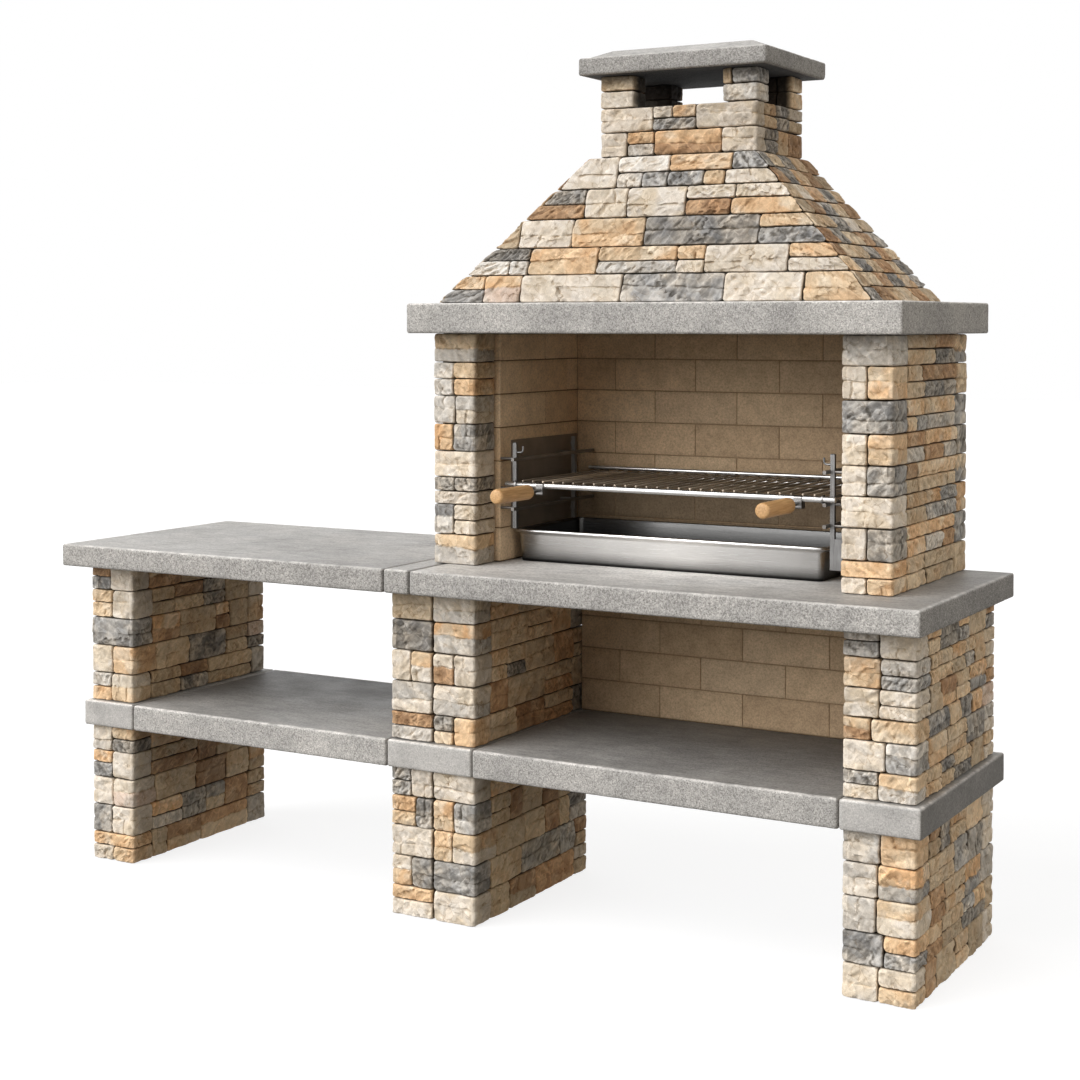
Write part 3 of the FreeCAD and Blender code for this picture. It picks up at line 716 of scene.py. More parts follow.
def voronoi(nt, vec, scale, feature="F1"):
    n = nt.nodes.new("ShaderNodeTexVoronoi")
    n.voronoi_dimensions = "3D"
    n.feature = feature
    n.inputs["Scale"].default_value = scale
    nt.links.new(vec, n.inputs["Vector"])
    return n.outputs


def wandering(nt, vec, scale, reach):
    """Coordinates shaken by a noise, so that cells get crooked edges."""
    n = nt.nodes.new("ShaderNodeTexNoise")
    n.inputs["Scale"].default_value = scale
    n.inputs["Detail"].default_value = 2.0
    nt.links.new(vec, n.inputs["Vector"])
    d = vmath(nt, "SUBTRACT", n.outputs["Color"], (0.5, 0.5, 0.5))
    return vmath(nt, "ADD", vec, vmath(nt, "MULTIPLY", d, (reach, reach, reach)))


def chips(nt, vec, scale):
    """Height of a surface of flat chips, each tilted its own way, and each chip's own shade."""
    cell = voronoi(nt, vec, scale)
    away = vmath(nt, "SUBTRACT", vec, cell["Position"])
    tilt = vmath(nt, "SUBTRACT", cell["Color"], (0.5, 0.5, 0.5))
    return vmath(nt, "DOT_PRODUCT", away, tilt), cell["Color"]


def slanted(nt, turn, scale):
    """Object coordinates turned, then drawn out along the turned axes."""
    tc = nt.nodes.new("ShaderNodeTexCoord")
    mp = nt.nodes.new("ShaderNodeMapping")
    mp.vector_type = "TEXTURE"
    mp.inputs["Rotation"].default_value = turn
    mp.inputs["Scale"].default_value = scale
    nt.links.new(tc.outputs["Object"], mp.inputs["Vector"])
    return mp.outputs["Vector"]


def stone_material():
    m, nt, p = new_mat("split_stone")
    vec = coords(nt)
    rising = wandering(nt, slanted(nt, (0.62, 0.58, 0.2), (1.25, 1.25, 0.62)), 34.0, 0.02)
    falling = wandering(nt, slanted(nt, (-0.55, -0.66, 0.4), (1.2, 1.2, 0.66)), 52.0, 0.014)
    big, big_shade = chips(nt, rising, 36.0)
    small, small_shade = chips(nt, falling, 92.0)
    grain = ramp(nt, noise(nt, vec, 330.0, 3.0, 0.66), [(0.3, 0.90), (0.7, 1.10)])
    blotch = ramp(nt, noise(nt, vec, 42.0, 3.0, 0.6), [(0.25, (0.97, 0.95, 0.92)), (0.75, (1.04, 1.045, 1.05))])
    shade = ramp(nt, big_shade, [(0.25, (0.97, 0.95, 0.92)), (0.75, (1.05, 1.055, 1.06))])
    shade2 = ramp(nt, small_shade, [(0.25, (0.97, 0.96, 0.945)), (0.75, (1.04, 1.04, 1.04))])
    # painted shade: dark lines along the chip borders; painted highlight: pale lines along them, strongest on dark
    # stones
    border = voronoi(nt, rising, 36.0, "DISTANCE_TO_EDGE")["Distance"]
    crease_shade = ramp(nt, border, [(0.0, (0.68, 0.61, 0.53)), (0.04, (1.0, 1.0, 1.0))])
    soft_edge_glint = ramp(nt, border, [(0.0, (1.10, 1.10, 1.10)), (0.07, (1.0, 1.0, 1.0))])
    hard_edge_glint = ramp(nt, border, [(0.0, (1.55, 1.55, 1.55)), (0.10, (1.0, 1.0, 1.0))])
    where = noise(nt, vec, 24.0, 2.0)
    c = attr(nt)
    edge_glint = mix(nt, "MIX", hard_edge_glint, soft_edge_glint, ramp(nt, c, [(0.26, 0.0), (0.46, 1.0)]))
    for layer in (grain, blotch, shade, shade2):
        c = mix(nt, "MULTIPLY", c, layer)
    c = mix(nt, "MULTIPLY", c, crease_shade, ramp(nt, where, [(0.50, 0.0), (0.60, 1.0)]))
    c = mix(nt, "MULTIPLY", c, edge_glint, ramp(nt, where, [(0.42, 1.0), (0.52, 0.0)]))
    nt.links.new(c, p.inputs["Base Color"])
    rough = ramp(nt, noise(nt, vec, 60.0, 2.0), [(0.3, 0.78), (0.7, 0.95)])
    nt.links.new(rough, p.inputs["Roughness"])
    p.inputs["Specular IOR Level"].default_value = 0.28
    nrm = bump(nt, big, 0.38, 1.0)
    nrm = bump(nt, small, 0.27, 1.0, nrm)
    nrm = bump(nt, noise(nt, vec, 340.0, 2.0, 0.6), 0.42, 0.0014, nrm)
    nt.links.new(nrm, p.inputs["Normal"])
    return m


def mortar_material():
    m, nt, p = new_mat("joint_mortar")
    vec = coords(nt)
    c = mix(nt, "MULTIPLY", attr(nt), ramp(nt, noise(nt, vec, 160.0, 3.0, 0.6), [(0.3, 0.7), (0.7, 1.2)]))
    nt.links.new(c, p.inputs["Base Color"])
    p.inputs["Roughness"].default_value = 0.95
    p.inputs["Specular IOR Level"].default_value = 0.15
    nt.links.new(bump(nt, noise(nt, vec, 240.0, 3.0, 0.6), 0.4, 0.002), p.inputs["Normal"])
    return m


def concrete_material(name, speckle):
    """`speckle` scales the pitting of the upright faces."""
    m, nt, p = new_mat(name)
    about = lambda c: tuple(1 + speckle * (k - 1) for k in c)
    vec = coords(nt)
    cloud = ramp(nt, noise(nt, vec, 5.0, 4.0, 0.62, 0.5), [(0.3, (0.79, 0.79, 0.795)), (0.5, (0.98, 0.98, 0.98)), (0.68, (1.12, 1.115, 1.11))])
    streak = ramp(nt, noise(nt, coords(nt, (5.0, 15.0, 15.0)), 3.4, 5.0, 0.68), [(0.34, 0.80), (0.5, 0.97), (0.66, 1.12)])
    flat_grain = ramp(nt, noise(nt, vec, 130.0, 4.0, 0.72), [(0.34, 0.72), (0.48, 0.99), (0.66, 1.2)])
    worm = noise(nt, vec, 140.0, 2.0, 0.55, 1.4)
    speck = noise(nt, vec, 310.0, 3.0, 0.68, 0.5)
    worm_c = ramp(nt, worm, [(0.36, about((0.74, 0.735, 0.73))), (0.5, (1.0, 1.0, 1.0)), (0.64, about((1.18, 1.175, 1.17)))])
    speck_c = ramp(nt, speck, [(0.36, about((0.56, 0.55, 0.54))), (0.46, about((0.92, 0.915, 0.91))), (0.54, about((1.07, 1.07, 1.065))), (0.66, about((1.38, 1.375, 1.37)))])
    z = upness(nt)
    up = ramp(nt, z, [(0.45, 0.0), (0.8, 1.0)])
    c = mix(nt, "MULTIPLY", attr(nt), cloud)
    top = mix(nt, "MULTIPLY", mix(nt, "MULTIPLY", c, streak), flat_grain)
    side = mix(nt, "MULTIPLY", mix(nt, "MULTIPLY", c, worm_c), speck_c)
    final = mix(nt, "MIX", side, top, up)
    nt.links.new(final, p.inputs["Base Color"])
    rough = mix(nt, "MIX", ramp(nt, worm, [(0.3, 0.95), (0.7, 0.82)]), ramp(nt, noise(nt, vec, 9.0, 3.0), [(0.3, 0.46), (0.7, 0.62)]), up)
    nt.links.new(rough, p.inputs["Roughness"])
    p.inputs["Specular IOR Level"].default_value = 0.35
    coarse = mix(nt, "MIX", worm, noise(nt, vec, 210.0, 2.0, 0.5), up)
    nrm = bump(nt, coarse, 0.45 * speckle, 0.003)
    nt.links.new(bump(nt, speck, 0.35 * speckle, 0.0015, nrm), p.inputs["Normal"])
    return m


def brick_material():
    m, nt, p = new_mat("fire_brick")
    vec = coords(nt)
    blotch = ramp(nt, noise(nt, vec, 26.0, 4.0, 0.62), [(0.28, (0.89, 0.87, 0.85)), (0.72, (1.07, 1.06, 1.04))])
    grain = ramp(nt, noise(nt, vec, 230.0, 4.0, 0.7), [(0.34, 0.76), (0.5, 1.0), (0.66, 1.18)])
    c = mix(nt, "MULTIPLY", mix(nt, "MULTIPLY", attr(nt), blotch), grain)
    nt.links.new(c, p.inputs["Base Color"])
    p.inputs["Roughness"].default_value = 0.9
    p.inputs["Specular IOR Level"].default_value = 0.2
    nrm = bump(nt, noise(nt, vec, 60.0, 4.0, 0.6), 0.3, 0.003)
    nt.links.new(bump(nt, noise(nt, vec, 320.0, 2.0), 0.25, 0.001, nrm), p.inputs["Normal"])
    return m


def steel_material(name, base, dark, rough, axis, scale=900.0, metal=1.0, stain_and_sheen=False, brush=0.06):
    m, nt, p = new_mat(name)
    stretch = [1.0, 1.0, 1.0]
    stretch[axis] = 0.02
    brushed = noise(nt, coords(nt, stretch), scale, 2.0, 0.6)
    soft = noise(nt, coords(nt), 14.0, 3.0, 0.6)
    c = mix(nt, "MIX", ramp(nt, soft, [(0.3, dark), (0.7, base)]), ramp(nt, brushed, [(0.3, dark), (0.7, base)]), 0.45)
    # the Col attribute carries real stains on the grill bars and painted reflection and shade on the pan
    if stain_and_sheen:
        c = mix(nt, "MULTIPLY", c, attr(nt))
    nt.links.new(c, p.inputs["Base Color"])
    p.inputs["Metallic"].default_value = metal
    r = ramp(nt, brushed, [(0.25, rough - 0.06), (0.75, rough + 0.08)])
    nt.links.new(r, p.inputs["Roughness"])
    nt.links.new(bump(nt, brushed, brush, 0.0004), p.inputs["Normal"])
    return m


def wood_material():
    m, nt, p = new_mat("beech_grip")
    grain = noise(nt, coords(nt, (1.0, 0.06, 1.0)), 260.0, 3.0, 0.6)
    figure = noise(nt, coords(nt, (1.0, 0.25, 1.0)), 40.0, 3.0, 0.55, 0.6)
    a = ramp(nt, grain, [(0.3, lin((186, 138, 88))), (0.7, lin((226, 186, 134)))])
    b = ramp(nt, figure, [(0.3, (0.86, 0.83, 0.80)), (0.7, (1.06, 1.05, 1.03))])
    c = mix(nt, "MULTIPLY", mix(nt, "MULTIPLY", a, b), attr(nt))
    nt.links.new(c, p.inputs["Base Color"])
    p.inputs["Roughness"].default_value = 0.45
    p.inputs["Specular IOR Level"].default_value = 0.4
    nt.links.new(bump(nt, grain, 0.12, 0.0006), p.inputs["Normal"])
    return m


STONE = stone_material()
JOINT = mortar_material()
CONCRETE = concrete_material("cast_concrete", 1.0)
FINE_CONCRETE = concrete_material("fine_concrete", 0.5)
BRICK = brick_material()
PAN_STEEL = steel_material("pan_sheet", (0.79, 0.78, 0.765), (0.74, 0.73, 0.715), 0.22, 0, stain_and_sheen=True, brush=0.012)
BRIGHT = steel_material("bright_rod", (0.70, 0.69, 0.67), (0.46, 0.45, 0.44), 0.28, 0)
BAR = steel_material("grill_bar", (0.46, 0.39, 0.31), (0.32, 0.265, 0.21), 0.42, 1, metal=0.35, stain_and_sheen=True)
SIDE_BAR = steel_material("grill_frame", (0.34, 0.30, 0.25), (0.20, 0.17, 0.14), 0.4, 1, metal=0.6)
DARK = steel_material("handle_steel", (0.30, 0.29, 0.28), (0.15, 0.145, 0.14), 0.32, 1)
RACK = steel_material("rack_plate", (0.27, 0.22, 0.17), (0.16, 0.13, 0.10), 0.46, 1, metal=0.45)
RUNG = steel_material("rack_rung", (0.26, 0.245, 0.23), (0.12, 0.11, 0.10), 0.36, 1, metal=0.85)
POST = steel_material("rack_post", (0.25, 0.245, 0.24), (0.12, 0.117, 0.114), 0.3, 2)
WOOD = wood_material()

# ---------------------------------------------------------------------------
# legs
LOW = (0.0, 359.0)
UPP = (424.0, 784.0)
LEG_Y = (70.0, 630.0)


def leg(name, x, z, shares, faces, fronts, rights, wraps, seed, backs=None, side_shade_tint=None):
    """Painted shade: the given factor darkens the stones on the long sides."""
    rng = np.random.RandomState(seed)
    pool = Pool()
    painted_side_shade = None if side_shade_tint is None else (lambda v: np.repeat([side_shade_tint], len(v), 0))

    # painted shade on the right-hand returns of the corner stones
    def painted_return_shade(v):
        k = smooth(x[1] - 15.0, x[1] - 6.0, v[:, 0]) * smooth(LEG_Y[0] + 6.0, LEG_Y[0] + 36.0, v[:, 1])
        return 1 - k[:, None] * np.array([[0.27, 0.30, 0.34]])

    tower(pool, x[0], x[1], LEG_Y[0], LEG_Y[1], courses(z[0], z[1], shares[::-1]), faces, fronts, rights, backs, None, wraps, rng, side_shade_tint=painted_side_shade, front_shade_tint=None if side_shade_tint is None else painted_return_shade)
    o = pool.build(name + "_stones", [STONE, JOINT], sharp=12.0)
    return finish_piece(o, "masonry", [name])


leg(
    "left_leg_upper", (-1197.0, -1050.0), UPP, (24, 26, 26, 26, 26), "FRBL",
    ["47:br//gr 53:cr", "50:ta//ta 50:cr/cr", "100:gr/gr", "50:cr/cr 50:or/or", "47:lg//or 53:cr/ta"],
    ["30:ta/br 25:be/be 30:br//gr 15:be", "22:be//be 30:br//be 23:gr//dg 25:be/be", "28:or/br 37:be/be 15:or//br 20:be", "35:be/be 40:dg/dg 25:be//be", "28:be//be 27:br//dg 45:be//be"],
    [72, 84, 84, 98, 78], 21, side_shade_tint=(0.84, 0.79, 0.72),
)
leg(
    "left_leg_lower", (-1197.0, -1050.0), LOW, (26, 27, 28, 28, 28), "FRBL",
    ["48:cr/lg 52:ta//dg", "48:or//gr 52:cr/cr", "50:cr/cr 50:cr/pk", "46:gr/gr 54:cr/cr", "100:or | 50:cr 50:ta"],
    ["30:ta/ta 30:be//br 40:be", "45:be//br 20:br/br 35:br/be", "42:be/be 33:br/br 25:be", "30:or//lg 25:dg/dg 20:gr/be 25:br", "15:be/be 35:br/ta 50:br/be"],
    [76, 78, 92, 80, 78], 22, side_shade_tint=(1.0, 0.97, 0.92),
)
leg(
    "middle_left_leg_upper", (-241.0, -122.0), UPP, (29, 30, 30, 30, 27), "FBL",
    ["100:be/be", "100:dg/dg", "49:cr/cr 51:ta/cr", "100:lg/cr", "100:br//lg"], None, [80, 70, 92, 76, 84], 23,
)
leg(
    "middle_left_leg_lower", (-241.0, -122.0), LOW, (30, 31, 31, 31, 31), "FBL",
    ["50:gr//gr 50:cr/cr", "60:or//ta 40:dg/gr", "100:cr/cr", "50:cr/ta 50:dg/dg", "100:or//cr"], None, [80, 70, 92, 76, 84], 24,
)
leg(
    "middle_right_leg_upper", (-119.0, 0.0), UPP, (29, 30, 30, 30, 27), "FRB",
    ["100:cr/lg", "100:or/lg", "48:cr/br 52:cr/cr", "100:cr/lg", "47:dg//ta 53:or/or"],
    ["35:be/ta 35:be 30:ta", "45:be/be 30:be//be 25:ta", "18:ta//be 22:be//dg 35:be/be 25:br", "20:br/br 45:be/be 35:be//br", "30:be/be 35:br/br 35:be//br"],
    [82, 84, 84, 80, 78], 25, side_shade_tint=(0.97, 0.92, 0.86),
)
leg(
    "middle_right_leg_lower", (-119.0, 0.0), LOW, (30, 31, 31, 31, 31), "FRB",
    ["100:cr/cr", "48:or/ta 52:gr/lg", "44:or/ta 56:ta/cr", "100:gr/gr", "100:cr/cr"],
    ["35:be/ta 30:ta 35:be", "22:be//be 15:br/br 25:be/be 20:br/br 18:be", "38:be/be 27:be/be 20:br/br 15:be", "35:be/be 45:dg/dg 20:gr", "22:be/be 30:br/be 48:br/br"],
    [80, 82, 104, 80, 78], 26, side_shade_tint=(0.98, 0.94, 0.87),
)
leg(
    "right_leg_upper", (901.0, 1069.0), UPP, (30, 31, 30, 23, 31, 29), "FRBL",
    ["49:lg//gr 51:cr/cr", "51:or/ta 49:lg//gr", "49:cr/cr 51:cr//cr", "38:ta/br 62:ta", "57:cr 43:lg/gr", "48:gr//cr 52:ta/lg"],
    ["20:ta//be 32:dg/dg 18:or//gr 30:be", "38:be//be 24:or//be 18:be//gr 20:ta", "20:be/be 25:br/or 25:be//ta 30:or/gr", "38:gr/dg 22:ta 20:dg 20:or", "32:ta/or 35:be//ta 33:dg", "24:be//ta 22:dg//be 30:be//dg 24:be"],
    [78, 96, 92, 84, 88, 72], 27,
)
leg(
    "right_leg_lower", (901.0, 1069.0), LOW, (34, 35, 36, 34, 37), "FRBL",
    ["51:lg/lg 49:or/ta", "48:lg/cr 52:or/gr", "46:lg/lg 54:ta/cr", "56:gr/gr 44:or//gr", "49:cr/cr 51:cr//ta"],
    ["20:br//be 18:dg/dg 30:or//be 32:ta", "46:be//be 26:gr/gr 14:lg 14:dg", "26:br//br 40:be//ta 34:or/gr", "25:ta//br 35:be//be 20:gr//dg 20:or/dg", "18:br/br 32:be/be 24:ta//ta 26:be"],
    [90, 94, 104, 80, 72], 28,
)

# ---------------------------------------------------------------------------
# pillars: a front block with a return, and a narrower rear block
PZ = (840.0, 1395.0)
SHARES_R = (31, 33, 33, 31, 30, 31, 32, 33)
SHARES_L = (29, 33, 28, 27, 26, 27, 30, 30)


def pillar(name, left, shares, fronts, sides, backs, seed):
    rng = np.random.RandomState(seed)
    pool = Pool()
    zs = courses(PZ[0], PZ[1], shares[::-1])
    x0, x1 = (-171.0, -49.0) if left else (2 * MID_X + 49.0, 2 * MID_X + 171.0)
    n = len(zs) - 1

    def painted_inner_shade(v):
        """Painted shade on the faces towards the fire."""
        inner = smooth(20.0, 10.0, x1 - v[:, 0] if left else v[:, 0] - x0)
        k = smooth(155.0, 170.0, v[:, 1]) * inner
        return 1 - k[:, None] * np.array([[0.30, 0.34, 0.40]])

    for i in range(n):
        z0, z1 = zs[n - 1 - i], zs[n - i]
        for a, b, c, d, top, bot in parse_course(fronts[i], x0, x1, z0, z1, rng):
            exp = "F" + ("L" if a <= x0 + 0.1 else "") + ("R" if b >= x1 - 0.1 else "")
            stone(pool, (a, b, 150.0, 247.0 if len(exp) > 1 else 190.0, c, d), exp, top, bot, rng, 2.9, tint=painted_inner_shade, flush="B" if len(exp) > 1 else "")
        wb = rng.uniform(70, 100)
        o = "L" if left else "R"
        xa, xb = (x0, x0 + 42.0) if left else (x1 - 42.0, x1)
        text = sides[i] if sides else random_course(rng, 428.0 - wb)
        for a, b, c, d, top, bot in parse_course(text, 247.0, 675.0 - wb, z0, z1, rng):
            stone(pool, (xa, xb, a, b, c, d), o, top, bot, rng, 3.0, rough=0.95, gap=0.75, radius=rng.uniform(3.0, 4.4), upright=1.8, ends=(0.06, 0.45), vary=0.2)
        bx0, bx1 = (x0, x1 - 14.0) if left else (x0 + 14.0, x1)
        text = backs[i] if backs else random_course(rng, bx1 - bx0)
        for a, b, c, d, top, bot in parse_course(text, bx0, bx1, z0, z1, rng):
            edge = a <= bx0 + 0.1 if left else b >= bx1 - 0.1
            exp = "B" + (o if edge else "")
            stone(pool, (a, b, 675.0 - (wb if edge else 42.0), 675.0, c, d), exp, top, bot, rng, 5.6)
    e = 19.0
    box_core(pool, x0 + e, x1 - e, 150.0 + e, 246.0, zs[0] + 0.6, zs[-1] - 0.6, MORTAR * 0.55, 1)
    ca, cb = (x0 + e, x1 - 19.6) if left else (x0 + 19.6, x1 - e)
    box_core(pool, ca, cb, 246.5, 675.0 - e, zs[0] + 0.6, zs[-1] - 0.6, MORTAR * 0.55, 1)
    ob = pool.build(name + "_stones", [STONE, JOINT], sharp=12.0)
    return finish_piece(ob, "masonry", [name])


pillar(
    "left_pillar", True, SHARES_L,
    ["100:be/lg", "48:lg//lg 52:ta//or", "52:lg/lg 48:lg/cr", "47:or/or 53:gr/gr", "100:cr/cr", "50:dg 50:dg | 100:cr", "48:gr/lg 52:cr//cr", "100:ta/lg"],
    None, None, 31,
)
pillar(
    "right_pillar", False, SHARES_R,
    ["100:lg/lg", "49:cr/cr 51:ta/or", "100:gr/gr", "50:cr/cr 50:or/ta", "49:cr/cr 51:gr/gr", "100:cr/cr", "49:cr/cr 51:dg/dg", "100:or | 49:cr 51:ta"],
    ["100:ta*58+br*42//be*58+dg*42", "100:ta*30+br*70//be*34+dg*33+dg*33", "100:ta*35+be*15+ta*50//be*20+gr*22+lg*58", "100:br*36+or*64//lg*34+br*38+lg*28",
     "100:br*22+ta*78//be*22+be*60+be*18", "100:ta*38+or*28+gr*34//be*38+gr*62", "100:or*100//or*40+lg*36+br*24", "100:be*36+be*64//be*40+be*60"],
    ["50:cr 50:ta/gr", "50:be 50:be/be", "50:ta 50:gr/gr", "50:cr 50:dg/dg", "50:lg 50:ta/gr", "50:cr 50:or/ta", "50:cr 50:gr/gr", "100:be/be"],
    32,
)

# ---------------------------------------------------------------------------
# hood: four sloping panels, each five courses of stone over a sooty backing
HOOD_LOW = (-150.0, 952.0, 135.0, 590.0)
HOOD_TOP = (206.0, 636.0, 243.0, 547.0)
HZ = (1466.0, 1805.0)


def hood_at(t):
    return [a + (b - a) * t for a, b in zip(HOOD_LOW, HOOD_TOP)]


def hood_panel(name, side, rows, seed, shares):
    rng = np.random.RandomState(seed)
    pool = Pool()
    ends = {"front": (0, 1), "right": (2, 3), "rear": (1, 0), "left": (3, 2)}[side]
    base = {"front": 2, "right": 1, "rear": 3, "left": 0}[side]
    inward = {"front": 1.0, "right": -1.0, "rear": -1.0, "left": 1.0}[side]
    zs = courses(HZ[0], HZ[1], shares[::-1])
    n = len(zs) - 1
    span_t = lambda z: (z - HZ[0]) / (HZ[1] - HZ[0])
    for i in range(n):
        z0, z1 = zs[n - 1 - i], zs[n - i]
        tm = span_t(0.5 * (z0 + z1))
        at = hood_at(tm)
        A, B = at[ends[0]], at[ends[1]]
        text = rows[i] if rows else random_course(rng, abs(B - A))
        run = (HOOD_TOP[base] - HOOD_LOW[base]) / (HZ[1] - HZ[0])
        stretch = math.sqrt(1 + run * run)
        for a, b, c, d, top, bot in parse_course(text, 0.0, abs(B - A), z0, z1, rng):
            sg = 1.0 if B > A else -1.0
            first, last = a <= 0.1, b >= abs(B - A) - 0.1
            L, H = b - a, (d - c) * stretch

            def warp(v, a=a, b=b, c=c, d=d, first=first, last=last, L=L, H=H, A=A, sg=sg):
                s = v[:, 0] / L
                z = c + v[:, 2] / H * (d - c)
                t = span_t(z)
                dep = v[:, 1]
                ha = HOOD_LOW[ends[0]] + (HOOD_TOP[ends[0]] - HOOD_LOW[ends[0]]) * t + sg * dep
                hb = HOOD_LOW[ends[1]] + (HOOD_TOP[ends[1]] - HOOD_LOW[ends[1]]) * t - sg * dep
                pa = ha if first else A + sg * a
                pb = hb if last else A + sg * b
                along = pa + (pb - pa) * s
                face = HOOD_LOW[base] + (HOOD_TOP[base] - HOOD_LOW[base]) * t + inward * dep
                out = np.stack([along, face, z], 1) if side in ("front", "rear") else np.stack([face, along, z], 1)
                return out

            # the hood's stones are darkened throughout as painted shade
            stone(pool, (0.0, L, 0.0, 40.0, 0.0, H), "F", top, bot, rng, 2.9 if side in ("front", "right") else 4.4, rough=1.45, warp=warp, tint=lambda v: np.repeat([[0.86, 0.868, 0.885]], len(v), 0), vary=0.26 if side == "right" else 0.0)
    # the backing of this side, mitred at the hips
    e, w = 13.0, 60.0
    lo, hi = [], []
    for ring, tt in ((lo, 0.002), (hi, 0.998)):
        r = hood_at(tt)
        for inset in (e, w):
            x0, x1, y0, y1 = r[0] + inset, r[1] - inset, r[2] + inset, r[3] - inset
            z = HZ[0] + (HZ[1] - HZ[0]) * tt
            pts = {"front": ((x0, y0), (x1, y0)), "right": ((x1, y0), (x1, y1)), "rear": ((x1, y1), (x0, y1)), "left": ((x0, y1), (x0, y0))}[side]
            ring += [(pts[0][0], pts[0][1], z), (pts[1][0], pts[1][1], z)]
    v = np.array(lo + hi)
    q = [(0, 1, 5, 4), (3, 2, 6, 7), (1, 3, 7, 5), (2, 0, 4, 6), (4, 5, 7, 6), (2, 3, 1, 0)]
    pool.add(v, SOOT * 1.4, q, None, 1)
    o = pool.build(name + "_stones", [STONE, JOINT], sharp=12.0)
    return finish_piece(o, "masonry", [name])


HOOD_SHARES = (32, 30, 29, 27, 28)
hood_panel(
    "hood_front", "front",
    ["24:cr/cr 26:wh//lg+gr 50:or*62+gr*38//gr*36+ta*20+cr*44", "19:dg//br 17:cr/cr 23:cr/cr 41:cr*45+cr*55//br*42+ta*58", "4:be 18:cr/cr 24:ta/or 36:dg/dg 18:ta//gr",
     "15:dg//wh*62+lg*38 20:or/ta 22:ta//lg 7.5:ta//cr 22:cr/cr 13.5:or//cr", "9:or//gr 9.5:or/pk 25.5:cr/cr 24.5:gr/gr 18:cr/cr 13.5:ta/ta"],
    41, HOOD_SHARES,
)
hood_panel(
    "hood_right", "right",
    ["16:dg//br 20:be//dg 22:dg//ta 20:ta//br 22:br//be", "18:ta//be 20:cr//br 22:br//dg 20:dg//be 20:ta//br", "20:be//br 18:ta//dg 22:dg//be 20:cr//br 20:be//dg", "17:br//ta 18:be//dg 15:ta//be 20:dg//br 14:br//be 16:be//dg", "14:ta//dg 18:be//br 16:br//ta 18:dg//be 18:or//br 16:gr//be"],
    42, HOOD_SHARES,
)
hood_panel("hood_rear", "rear", None, 43, HOOD_SHARES)
hood_panel("hood_left", "left", None, 44, HOOD_SHARES)

# ---------------------------------------------------------------------------
# chimney
def stack_dulling_and_shade(v):
    """The stack's stones are darkened overall, and its right side further as painted shade."""
    k = 1 - 0.2 * smooth(608.0, 624.0, v[:, 0])
    return k[:, None] * np.array([[0.83, 0.815, 0.8]])


rng = np.random.RandomState(51)
pool = Pool()
tower(
    pool, 224.0, 628.0, 261.0, 539.0, courses(1805.0, 1920.0, (25, 25)), "FRBL",
    ["34.5:cr/cr 27:lg*46+or*54//gr 38.5:cr/cr", "18:cr/cr 17.5:or//lg 42:or/br 22.5:cr/cr"],
    ["48:ta//ta 52:dg//dg", "55:dg//dg 45:ta/ta"], None, None, [48, 54], rng, 3.0, core=False, side_shade_tint=stack_dulling_and_shade, front_shade_tint=stack_dulling_and_shade,
)
frustum_ring(pool, (238.0, 614.0, 275.0, 525.0), (238.0, 614.0, 275.0, 525.0), 41.0, 1805.6, 1919.4, SOOT * 1.4, 1)
finish_piece(pool.build("chimney_stack_stones", [STONE, JOINT], sharp=12.0), "masonry", ["chimney_stack"])


def posts(name, y0, y1, specs, seed):
    rng = np.random.RandomState(seed)

    def painted_flue_shade(v, x0):
        """Painted shade: the faces that look into the flue are darkened, and the post tops under the cap carry a
        painted shadow.
        """
        side = v[:, 0] - 224.0 if x0 < 400.0 else 628.0 - v[:, 0]
        face = v[:, 1] - 261.0 if y0 < 400.0 else 539.0 - v[:, 1]
        painted_under_shade = 1 - 0.42 * smooth(1955.0, 1992.0, v[:, 2])
        if y0 > 400.0:
            return painted_under_shade * (1 - 0.95 * smooth(4.0, 20.0, np.minimum(side, face)))
        return painted_under_shade * (1 - 0.88 * smooth(6.0, 34.0, np.minimum(side, face)))

    pool = Pool()
    for x0, rows in zip((224.0, 628.0 - 92.0), specs):
        zs = courses(1920.0, 1996.0, (20, 18))
        for i, row in enumerate(rows):
            z0, z1 = zs[1 - i], zs[2 - i]
            for a, b, c, d, top, bot in parse_course(row, x0, x0 + 92.0, z0, z1, rng):
                exp = "FB" + ("L" if a <= x0 + 0.1 else "") + ("R" if b >= x0 + 91.9 else "")
                stone(pool, (a, b, y0, y1, c, d), exp, top, bot, rng, 3.2, rough=0.8, tint=lambda v, x0=x0: painted_flue_shade(v, x0))
        box_core(pool, x0 + 13.0, x0 + 79.0, y0 + 13.0, y1 - 13.0, 1920.6, 1995.4, MORTAR * 0.55, 1)
    finish_piece(pool.build(name + "_stones", [STONE, JOINT], sharp=12.0), "masonry", [name])


posts("chimney_posts_front", 261.0, 337.0, (("100:be", "100:cr"), ("28:ta 72:gr", "100:lg/lg")), 52)
posts("chimney_posts_rear", 463.0, 539.0, (("100:br", "100:be"), ("55:br 45:ta", "55:br 45:ta")), 53)

# ---------------------------------------------------------------------------
# concrete slabs
GREY = lin((172, 169, 165))


def slab_rows(z0, z1, r, g):
    return rows_of(z0, z1, r, g, 3)


